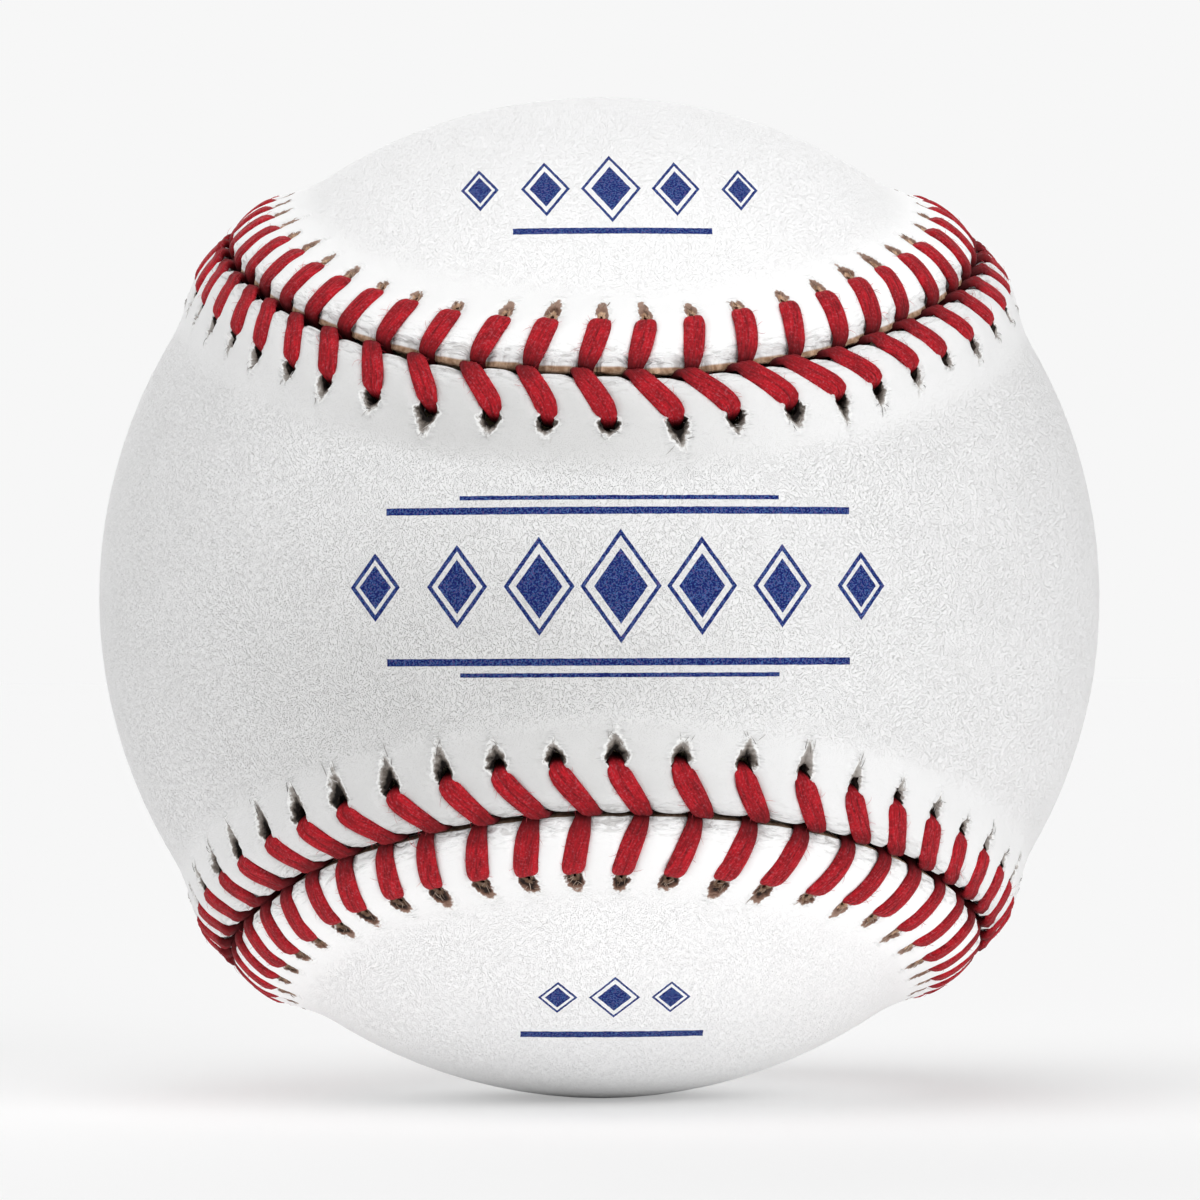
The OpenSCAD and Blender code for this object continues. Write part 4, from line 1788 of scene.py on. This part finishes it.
        # The ink lies in grains, as a stamp leaves it on pressed leather
        ink = colour(self.ink)
        for place, ramp, tone in (
            (mm, self.ink_specks, self.ink_speck), (shaken, self.warm_specks, self.ink_warm),
        ):
            speck = {"Vector": place, "Scale": 1 / self.speck, "Detail": 1.0}
            speck = nodes.add("TexNoise", speck)
            speck = nodes.add("MapRange", (speck, *ramp))
            ink = nodes.add("Mix", {0: speck, 6: ink, 7: colour(tone)}, **RGBA)
        return nodes.add("Mix", {0: total, 6: base, 7: ink}, **RGBA)


@dataclass(frozen=True)
class WaxedThread:
    """Cotton thread dyed red, waxed and pulled flat: fine parallel fibres, painted shade between
    plies.
    """

    name: str = "waxed_cotton_thread_dyed_red"
    light: str = "#bd1624"
    shade: str = "#7c0f18"
    # Colour of the painted shade where the thread dives, by the gap and between the plies, and of
    # its dark specks
    deep: str = "#3c080c"
    rough: float = 0.7
    specular: float = 0.16
    wax: str = "#b8606a"
    fibre: float = 0.11
    fibre_length: float = 1.4
    fibre_depth: float = 0.11
    # Turn of the fibres across the thread, patches in a millimetre and their share of the tone
    twist: float = 0.12
    patches: float = 1.3
    patch_share: float = 0.6
    tone: Ramp = (0.58, 1.02)
    waxed: Ramp = (0.54, 0.8, 0.0, 0.5)
    darkened: Ramp = (0.42, 0.28, 0.0, 0.45)
    # How dark the painted shade in the line between the plies is, and where it is broken
    line_dark: float = 0.6
    broken: Ramp = (0.42, 0.6)
    ply_line: float = 0.14
    # Size of the specks of wax, drawn coarser than they are so that they show, in millimetres
    speck: float = 0.16

    def make(self) -> bpy.types.Material:
        """Make the finish.

        Returns:
            The material.
        """
        nodes = Nodes(bpy.data.materials.new(self.name))
        fibre = nodes.add("Attribute", attribute_name="fibre", out="Vector")
        deep = nodes.add("Attribute", attribute_name="deep", out="Fac")
        scale = (1 / self.fibre, 1 / self.fibre_length, 1.0)
        # The twist lays the fibres a little across the thread
        twisted = nodes.add("Mapping", {"Vector": fibre, "Rotation": (0, 0, self.twist)})
        scaled = nodes.add("VectorMath", (twisted, scale), operation="MULTIPLY")
        streak = nodes.add("TexNoise", {"Vector": scaled, "Scale": 1.0, "Detail": 3.0})
        patch = nodes.add("TexNoise", {"Vector": fibre, "Scale": self.patches, "Detail": 2.0})
        both = nodes.add("Math", (patch, self.patch_share, streak), operation="MULTIPLY_ADD")
        shade = nodes.add("MapRange", (both, *self.tone))
        lit = nodes.add("Mix", {0: shade, 6: colour(self.shade), 7: colour(self.light)}, **RGBA)
        speck = nodes.add("TexNoise", {"Vector": fibre, "Scale": 1 / self.speck, "Detail": 1.0})
        for ramp, tone in ((self.waxed, self.wax), (self.darkened, self.deep)):
            share = nodes.add("MapRange", (speck, *ramp))
            lit = nodes.add("Mix", {0: share, 6: lit, 7: colour(tone)}, **RGBA)
        # Painted shade in the line between the plies
        across = nodes.add("SeparateXYZ", (fibre,), out="X")
        across = nodes.add("Math", (across,), operation="ABSOLUTE")
        line = nodes.add("MapRange", (across, 0.0, self.ply_line, self.line_dark, 0.0), **EASED)
        broken = nodes.add("MapRange", (patch, *self.broken))
        line = nodes.add("Math", (line, broken), operation="MULTIPLY")
        dark = nodes.add("Math", (deep, line), operation="MAXIMUM")
        base = nodes.add("Mix", {0: dark, 6: lit, 7: colour(self.deep)}, **RGBA)
        bump = {"Height": streak, "Distance": self.fibre_depth * MM, "Strength": 1.0}
        bump = nodes.add("Bump", bump)
        return nodes.finish(base, self.rough, self.specular, bump)


@dataclass(frozen=True)
class LooseFibre:
    """Loose fibres, dull and without shine, each in its own tone between two colours."""

    name: str
    dark: str
    light: str
    rough: float = 0.8
    specular: float = 0.2

    def make(self) -> bpy.types.Material:
        """Make the finish.

        Returns:
            The material.
        """
        nodes = Nodes(bpy.data.materials.new(self.name))
        tone = nodes.add("Attribute", attribute_name="tone", out="Fac")
        mixed = nodes.add("Mix", {0: tone, 6: colour(self.dark), 7: colour(self.light)}, **RGBA)
        return nodes.finish(mixed, self.rough, self.specular)


@dataclass(frozen=True)
class Compound:
    """Finish of a moulded piece of the centre.

    Two colours lie in grains of a real size, and a long wave of tone stands for how it flowed.
    """

    name: str
    dark: str
    light: str
    # Grain size and bump depth in millimetres, and the values where one colour becomes the other
    grain: float
    depth: float
    share: tuple[float, float]
    rough: float
    specular: float = 0.5
    flow: float = 7.0
    # Shares of the fine grains and the flow in the tone, and how much finer those grains are
    fine_share: float = 0.5
    flow_share: float = 0.5
    finer: float = 3

    def make(self) -> bpy.types.Material:
        """Make the finish.

        Returns:
            The material.
        """
        nodes = Nodes(bpy.data.materials.new(self.name))
        mm = nodes.millimetres()
        coarse = nodes.add("TexVoronoi", {"Vector": mm, "Scale": 1 / self.grain}, out="Color")
        coarse = nodes.add("SeparateXYZ", (coarse,), out="X")
        fine = {"Vector": mm, "Scale": self.finer / self.grain, "Detail": 4.0}
        fine = nodes.add("TexNoise", fine)
        both = nodes.add("Math", (fine, self.fine_share, coarse), operation="MULTIPLY_ADD")
        flow = nodes.add("TexNoise", {"Vector": mm, "Scale": 1 / self.flow, "Detail": 2.0})
        both = nodes.add("Math", (flow, self.flow_share, both), operation="MULTIPLY_ADD")
        share = nodes.add("MapRange", (both, *self.share))
        mixed = nodes.add("Mix", {0: share, 6: colour(self.dark), 7: colour(self.light)}, **RGBA)
        bump = nodes.add("Bump", {"Height": both, "Distance": self.depth * MM, "Strength": 1.0})
        return nodes.finish(mixed, self.rough, self.specular, bump)


@dataclass(frozen=True)
class WoolYarn:
    """Spun wool yarn, wound tight: twisted plies with a soft, hairy surface and no shine.

    Each turn has its own tone. The yarn attribute gives the place across the turn, the place
    along it, in millimetres, and the turn's own number from 0 to 1.
    """

    name: str
    light: str
    shade: str
    # Length of one twist along the yarn and size of a hair, in millimetres
    twist: float
    hair: float = 0.25
    hair_depth: float = 0.15
    # Shares of the plies and of each turn's own tone, between which sums the tone runs, and
    # the plies' share of the height
    ply_share: float = 0.16
    turn_share: float = 0.3
    tone: Ramp = (0.3, 1.05)
    ply_height: float = 0.5
    rough: float = 0.95
    specular: float = 0.1

    def make(self) -> bpy.types.Material:
        """Make the finish.

        Returns:
            The material.
        """
        nodes = Nodes(bpy.data.materials.new(self.name))
        yarn = nodes.add("Attribute", attribute_name="yarn", out="Vector")
        across, along, turn = nodes.add("SeparateXYZ", (yarn,)).node.outputs
        slant = nodes.add("Math", (across, along), operation="ADD")
        wave = nodes.add("Math", (slant, 2 * math.pi / self.twist), operation="MULTIPLY")
        plies = nodes.add("Math", (wave,), operation="SINE")
        mm = nodes.millimetres()
        hair = nodes.add("TexNoise", {"Vector": mm, "Scale": 1 / self.hair, "Detail": 4.0})
        tone = nodes.add("Math", (plies, self.ply_share, hair), operation="MULTIPLY_ADD")
        tone = nodes.add("Math", (turn, self.turn_share, tone), operation="MULTIPLY_ADD")
        tone = nodes.add("MapRange", (tone, *self.tone))
        mixed = nodes.add("Mix", {0: tone, 6: colour(self.shade), 7: colour(self.light)}, **RGBA)
        height = nodes.add("Math", (plies, self.ply_height, hair), operation="MULTIPLY_ADD")
        bump = {"Height": height, "Distance": self.hair_depth * MM, "Strength": 1.0}
        bump = nodes.add("Bump", bump)
        return nodes.finish(mixed, self.rough, self.specular, bump)


# The wound centre


@dataclass
class Winding:
    """One layer of yarn wound over the centre, turn after turn in every direction."""

    node: str
    slot: str
    # Inner and outer radius, yarn width and depth of the relief, in millimetres
    inner: float
    outer: float
    yarn: float
    relief: float
    turns: int
    seed: int
    clearance: float = 0.02
    divisions: tuple[int, int] = (7, 5)
    # Shares of the relief: a turn's own height, the rise from first to last, and its spread
    own_height: float = 0.6
    rise: float = 0.4
    spread: float = 0.12
    # Step of tone from turn to turn, and any direction that the turns are measured from
    tone_step: float = 0.618
    aside: tuple[float, float, float] = (0.31, 0.57, 0.76)

    def shell(self, divisions: int, radius: float) -> bpy.types.Object:
        """Add a finely divided ball to shape.

        Args:
            divisions: How many times its faces are divided.
            radius: Its radius in millimetres.

        Returns:
            The ball.
        """
        bpy.ops.object.select_all(action="DESELECT")
        bpy.ops.mesh.primitive_ico_sphere_add(subdivisions=divisions, radius=radius * MM)
        return bpy.context.object

    def lay(self, ways: np.ndarray) -> tuple[np.ndarray, np.ndarray]:
        """Lay the turns over each other.

        Args:
            ways: Directions from the centre.

        Returns:
            Height under the outer radius for each direction, and its place on its turn.
        """
        draw = np.random.default_rng(self.seed)
        height = np.full(len(ways), -self.relief)
        yarn = np.zeros((len(ways), 3))
        for turn in range(self.turns):
            pole = draw.normal(0, 1, 3)
            pole = unit(pole)
            side = np.cross(pole, self.aside)
            side = unit(side)
            across = ways @ pole * self.outer
            along = np.arctan2(ways @ np.cross(pole, side), ways @ side) * self.outer
            half = self.yarn / 2
            round_top = np.sqrt(np.clip(1 - (across / half) ** 2, 0, 1)) * self.own_height
            # Later turns lie higher, and all are pulled into the ones below
            level = self.rise * turn / self.turns - 1 + draw.uniform(0, self.spread)
            top = np.where(np.abs(across) < half, (level + round_top) * self.relief, -self.relief)
            use = top > height
            height = np.where(use, top, height)
            tone = np.full(len(ways), (turn * self.tone_step) % 1)
            spot = np.stack([across, along, tone], axis=1)
            yarn = np.where(use[:, None], spot, yarn)
        return np.minimum(height, 0), yarn

    def build(self) -> bpy.types.Object:
        """Build the layer.

        Returns:
            The piece.
        """
        core = self.shell(self.divisions[1], self.inner + self.clearance)
        bpy.ops.object.mode_set(mode="EDIT")
        bpy.ops.mesh.select_all(action="SELECT")
        bpy.ops.mesh.flip_normals()
        bpy.ops.object.mode_set(mode="OBJECT")
        piece = self.shell(self.divisions[0], self.outer)
        mesh = piece.data
        at = np.empty(len(mesh.vertices) * 3)
        mesh.vertices.foreach_get("co", at)
        ways = at.reshape(-1, 3)
        ways = unit(ways)
        height, yarn = self.lay(ways)
        radius = self.outer - self.clearance + height
        mesh.vertices.foreach_set("co", (ways * radius[:, None] * MM).ravel())
        marks = mesh.attributes.new("yarn", "FLOAT_VECTOR", "POINT")
        marks.data.foreach_set("vector", yarn.ravel())
        core.select_set(True)
        piece.select_set(True)
        bpy.ops.object.join()
        bpy.ops.object.shade_smooth()
        piece.name = f"{self.node}_yarn"
        mesh.name = piece.name
        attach(piece, BODY)
        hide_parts(self.node)
        length = self.turns * 2 * math.pi * self.outer * MM
        log.info("%s: %d turns, %.0f m shown", piece.name, self.turns, length)
        return piece


# Studio


@dataclass
class Studio:
    """Pale floor, soft light and the camera at the photograph's angle."""

    ball: Ball
    distance: float = 14.0
    azimuth: float = -2.3
    elevation: float = -0.6
    roll: float = -0.25
    lens: float = 209.5
    shift: tuple[float, float] = (0.0004, -0.0021)
    sensor: float = 36.0
    clip: float = 0.01
    pale: str = "#f7f7f7"
    floor_size: float = 40.0
    # Whiteness and glow of the floor for the light that it throws back, and what it shows. The
    # glow is painted light: the floor lights the ball though it is no lamp
    floor_lit: float = 0.93
    floor_glow: float = 0.245
    # The glow fades towards the ball's foot, a painted shadow where no light reaches real paper, in
    # millimetres
    glow_fade: tuple[float, float] = (3.0, 17.0)
    shown_white: float = 0.58
    shown_glow: float = 0.36
    ambient: float = 0.27

    def build(self) -> None:
        """Put up the floor, the lamps, the world and the camera."""
        self.floor()
        self.world()
        self.lamp("key", azimuth=41, elevation=12, strength=1.45, angle=50)
        self.lamp("top", azimuth=-34, elevation=66, strength=1.75, angle=60)
        self.lamp("back", azimuth=190, elevation=15, strength=1.1, angle=60)
        self.camera()
        bpy.context.scene.view_settings.view_transform = "Standard"

    def floor(self) -> None:
        """A wide plane that the ball rests on."""
        bpy.ops.object.select_all(action="DESELECT")
        low = (0, 0, -self.ball.cover_r * MM)
        bpy.ops.mesh.primitive_plane_add(size=self.floor_size, location=low)
        plane = bpy.context.object
        plane.name = "studio_floor"
        nodes = Nodes(bpy.data.materials.new("studio_floor_paper"))
        place = nodes.add("TexCoord", out="Object")
        foot = nodes.add("VectorMath", (place,), out="Value", operation="LENGTH")
        near, far = (edge * MM for edge in self.glow_fade)
        glow = nodes.add("MapRange", (foot, near, far, 0.0, self.floor_glow), **EASED)
        lit = self.paper(nodes, self.floor_lit, glow)
        shown = self.paper(nodes, self.shown_white, self.shown_glow)
        both = nodes.add("MixShader", (self.seen(nodes), lit, shown))
        nodes.add("OutputMaterial", {"Surface": both})
        plane.data.materials.append(nodes.owner)

    def paper(self, nodes: Nodes, white: float, glow: Socket | float) -> Socket:
        """Matt paper of a whiteness that also glows a little.

        Args:
            nodes: The paper's nodes.
            white: Its whiteness.
            glow: Strength of its glow.

        Returns:
            The paper's shader.
        """
        matt = nodes.add("BsdfDiffuse", {"Color": (white, white, white, 1)})
        light = nodes.add("Emission", {"Color": (1, 1, 1, 1), "Strength": glow})
        return nodes.add("AddShader", (matt, light))

    def seen(self, nodes: Nodes) -> Socket:
        """Tell rays that show the floor or the world from those that light the object.

        Args:
            nodes: The nodes of the floor or the world.

        Returns:
            1 for rays that show it and 0 for the others.
        """
        path = nodes.add("LightPath", out="Is Camera Ray").node.outputs
        glossy = (path["Is Camera Ray"], path["Is Glossy Ray"])
        glossy = nodes.add("Math", glossy, operation="MAXIMUM")
        return nodes.add("Math", (glossy, path["Is Transmission Ray"]), operation="MAXIMUM")

    def world(self) -> None:
        """Even pale surroundings."""
        world = bpy.data.worlds.new("studio")
        bpy.context.scene.world = world
        nodes = Nodes(world)
        seen = self.seen(nodes)
        lit = nodes.add("Background", {"Color": (1, 1, 1, 1), "Strength": self.ambient})
        shown = nodes.add("Background", {"Color": colour(self.pale), "Strength": 1.0})
        nodes.add("OutputWorld", {"Surface": nodes.add("MixShader", (seen, lit, shown))})

    def towards(self, azimuth: float, elevation: float) -> Vector:
        """Direction from the ball to something at an azimuth and elevation in degrees."""
        a, e = math.radians(azimuth), math.radians(elevation)
        return Vector((math.sin(a) * math.cos(e), -math.cos(a) * math.cos(e), math.sin(e)))

    def lamp(
        self, name: str, azimuth: float, elevation: float, strength: float, angle: float
    ) -> None:
        """Add one wide, soft lamp.

        Args:
            name: Name of the lamp.
            azimuth: Direction that it shines from, in degrees.
            elevation: Its height, in degrees.
            strength: Its strength.
            angle: Its width, in degrees.
        """
        data = bpy.data.lights.new(name, "SUN")
        data.energy = strength
        data.angle = math.radians(angle)
        lamp = bpy.data.objects.new(name, data)
        bpy.context.scene.collection.objects.link(lamp)
        lamp.rotation_mode = "QUATERNION"
        lamp.rotation_quaternion = (-self.towards(azimuth, elevation)).to_track_quat("-Z", "Y")

    def camera(self) -> None:
        """Stand the camera where the photograph was taken from."""
        data = bpy.data.cameras.new("camera")
        data.sensor_width = self.sensor
        data.lens = self.lens
        data.shift_x, data.shift_y = self.shift
        data.clip_start = self.clip
        camera = bpy.data.objects.new("camera", data)
        bpy.context.scene.collection.objects.link(camera)
        away = self.towards(self.azimuth, self.elevation)
        turn = (-away).to_track_quat("-Z", "Y").to_matrix()
        turn = turn @ Matrix.Rotation(math.radians(self.roll), 3, "Z")
        stand = Matrix.Translation(away * self.distance * self.ball.cover_r * MM)
        camera.matrix_world = stand @ turn.to_4x4()
        bpy.context.scene.camera = camera


# The whole ball


WAIST_PRINTS = (
    Lozenges(z=0.4, pitch=5.6, beside=3, width=3.7, height=5.2, shrink=0.14),
    Rule(z=5.6, half=16.0), Rule(z=-4.8, half=16.0),
    Rule(z=6.5, half=11.0, thick=0.3), Rule(z=-5.7, half=11.0, thick=0.3),
)
LOBE_PRINTS = (
    Lozenges(z=28.6, pitch=4.6, beside=2, width=2.8, height=3.4, shrink=0.2),
    Rule(z=25.4, half=7.0, thick=0.45),
    Lozenges(z=-28.4, pitch=4.0, beside=1, width=2.4, height=2.0, shrink=0.25),
    Rule(z=-31.2, half=6.5, thick=0.45),
)


# Yarns are drawn about twice as wide as they are, because finer ones wouldn't show
WINDINGS = (
    (
        Winding("grey_four_ply_winding", "grey_wool", 16.85, 30.58, 2.6, 1.3, 230, 201),
        WoolYarn("grey_wool_yarn_four_ply_wound", light="#a5a39d", shade="#67655f", twist=2.4),
    ),
    (
        Winding("white_three_ply_winding", "white_wool", 30.63, 32.285, 2.2, 1.0, 260, 202),
        WoolYarn("white_wool_yarn_three_ply_wound", light="#f0ece0", shade="#c3bdac", twist=2.0),
    ),
    (
        Winding("grey_three_ply_winding", "grey_wool", 32.335, 34.45, 2.2, 1.0, 280, 203),
        WoolYarn("grey_wool_yarn_three_ply_wound", light="#aeaca6", shade="#716f69", twist=2.0),
    ),
    (
        Winding("white_finishing_winding", "finishing_yarn", 34.5, 34.95, 1.7, 0.36, 380, 204),
        WoolYarn("white_poly_cotton_yarn_wound", light="#f5f3ec", shade="#d2cec2", twist=1.2),
    ),
)
CENTRE = (
    (
        ("cork_core",),
        # Pale cork crumbs show in dark rubber, dry and matt
        Compound(
            "cork_and_rubber_crumb_moulded", dark="#4a2f1c", light="#c49a66", grain=1.3, depth=0.12,
            share=(0.35, 1.15), rough=0.85, specular=0.3,
        ),
    ),
    (
        ("black_rubber_cup_upper", "black_rubber_cup_lower"),
        # Nearly black with a faint grey bloom, and half shiny from the mould
        Compound(
            "black_rubber_moulded", dark="#161617", light="#343436", grain=0.5, depth=0.03,
            share=(0.4, 1.7), rough=0.55, specular=0.45,
        ),
    ),
    (
        ("red_rubber_gasket",),
        # Duller than the cups, because it is cut from sheet
        Compound(
            "red_rubber_die_cut", dark="#8a2318", light="#b8402f", grain=0.6, depth=0.04,
            share=(0.4, 1.6), rough=0.7, specular=0.35,
        ),
    ),
    (
        ("red_rubber_cup_left", "red_rubber_cup_right"),
        # Brick red with slow waves of tone from its flow in the mould
        Compound(
            "red_rubber_moulded", dark="#8f2a1e", light="#b64636", grain=0.5, depth=0.03,
            share=(0.4, 1.6), rough=0.6, specular=0.4,
        ),
    ),
    (
        ("adhesive_coat",),
        # Straw coloured and glossy, thicker where the brush passed twice
        Compound(
            "rubber_cement_brushed_on", dark="#c9b98f", light="#e9dfc2", grain=2.2, depth=0.08,
            share=(0.4, 1.5), rough=0.3,
        ),
    ),
)


def main() -> None:
    """Build the ball piece by piece."""
    logging.basicConfig(level=logging.INFO, format="%(name)s: %(message)s")
    ball = Ball()
    seam = SeamCurve(ball)
    reliefs = {side: Relief(ball, seam, side) for side in Side}
    # The waist's hide is greyer than the lobes', partly as painted shade of how light falls on it
    waist_hide = Hide(
        "white_cowhide_alum_tanned_waist", light="#eeeeee", shade="#e5e5e5",
        # Its nearly black flesh and tear cores are painted shade of the gap and holes, its lip a
        # painted highlight
        flesh_light="#4c433d", flesh_dark="#171412", tear=("#bcb7b2", "#776f68", "#171311"),
        lip="#f7f7f6", prints=WAIST_PRINTS, grain=0.1, pit_shade=0.28, seam_shade=0.36,
        patch_shade=0.28,
    )
    lobe_hide = Hide(
        "white_cowhide_alum_tanned_lobes", light="#fafafa", shade="#f5f5f5",
        flesh_light="#d9b79a", flesh_dark="#a98468", tear=("#a68b7c", "#78594b", "#2a201c"),
        lip="#f8f8f8", prints=LOBE_PRINTS, grain=0.06, pit_shade=0.12, seam_shade=0.1,
        patch_shade=0.0,
    )
    for side, tip, hide in ((Side.FRONT, -27, waist_hide), (Side.BACK, 0, lobe_hide)):
        piece = CoverPanel(ball, seam, side, tip, reliefs[side]).build()
        piece.data.materials.append(hide.make())
        log.info("%s: %d faces", piece.name, len(piece.data.polygons))
    red = WaxedThread().make()
    fuzz = LooseFibre("cotton_fibres_dyed_red", dark="#8f1420", light="#d4505a").make()
    for first, name in ((0, "seam_thread_first_needle"), (1, "seam_thread_second_needle")):
        thread = SeamThread(ball, seam, reliefs, first, name)
        thread.build().data.materials.append(red)
        ThreadFuzz(thread).build().data.materials.append(fuzz)
    for side, per_hole, radius, start, dark, light in (
        (Side.FRONT, 6, 0.028, (0.5, 0.95), "#4a433f", "#d6d3d0"),
        (Side.BACK, 5, 0.035, (0.1, 0.7), "#6a5142", "#b3a091"),
    ):
        fray = HoleFray(reliefs[side], per_hole, radius, start).build()
        fibre = LooseFibre(f"torn_flesh_fibres_{side.name.lower()}", dark, light)
        fray.data.materials.append(fibre.make())
    for winding, finish in WINDINGS:
        piece = winding.build()
        piece.data.materials.append(finish.make())
    for names, finish in CENTRE:
        material = finish.make()
        for name in names:
            node = frame["nodes"][name]
            node.data.materials.clear()
            node.data.materials.append(material)
            log.info("%s: finished in %s", name, finish.name)
    Studio(ball).build()


if __name__ == "__main__":
    main()
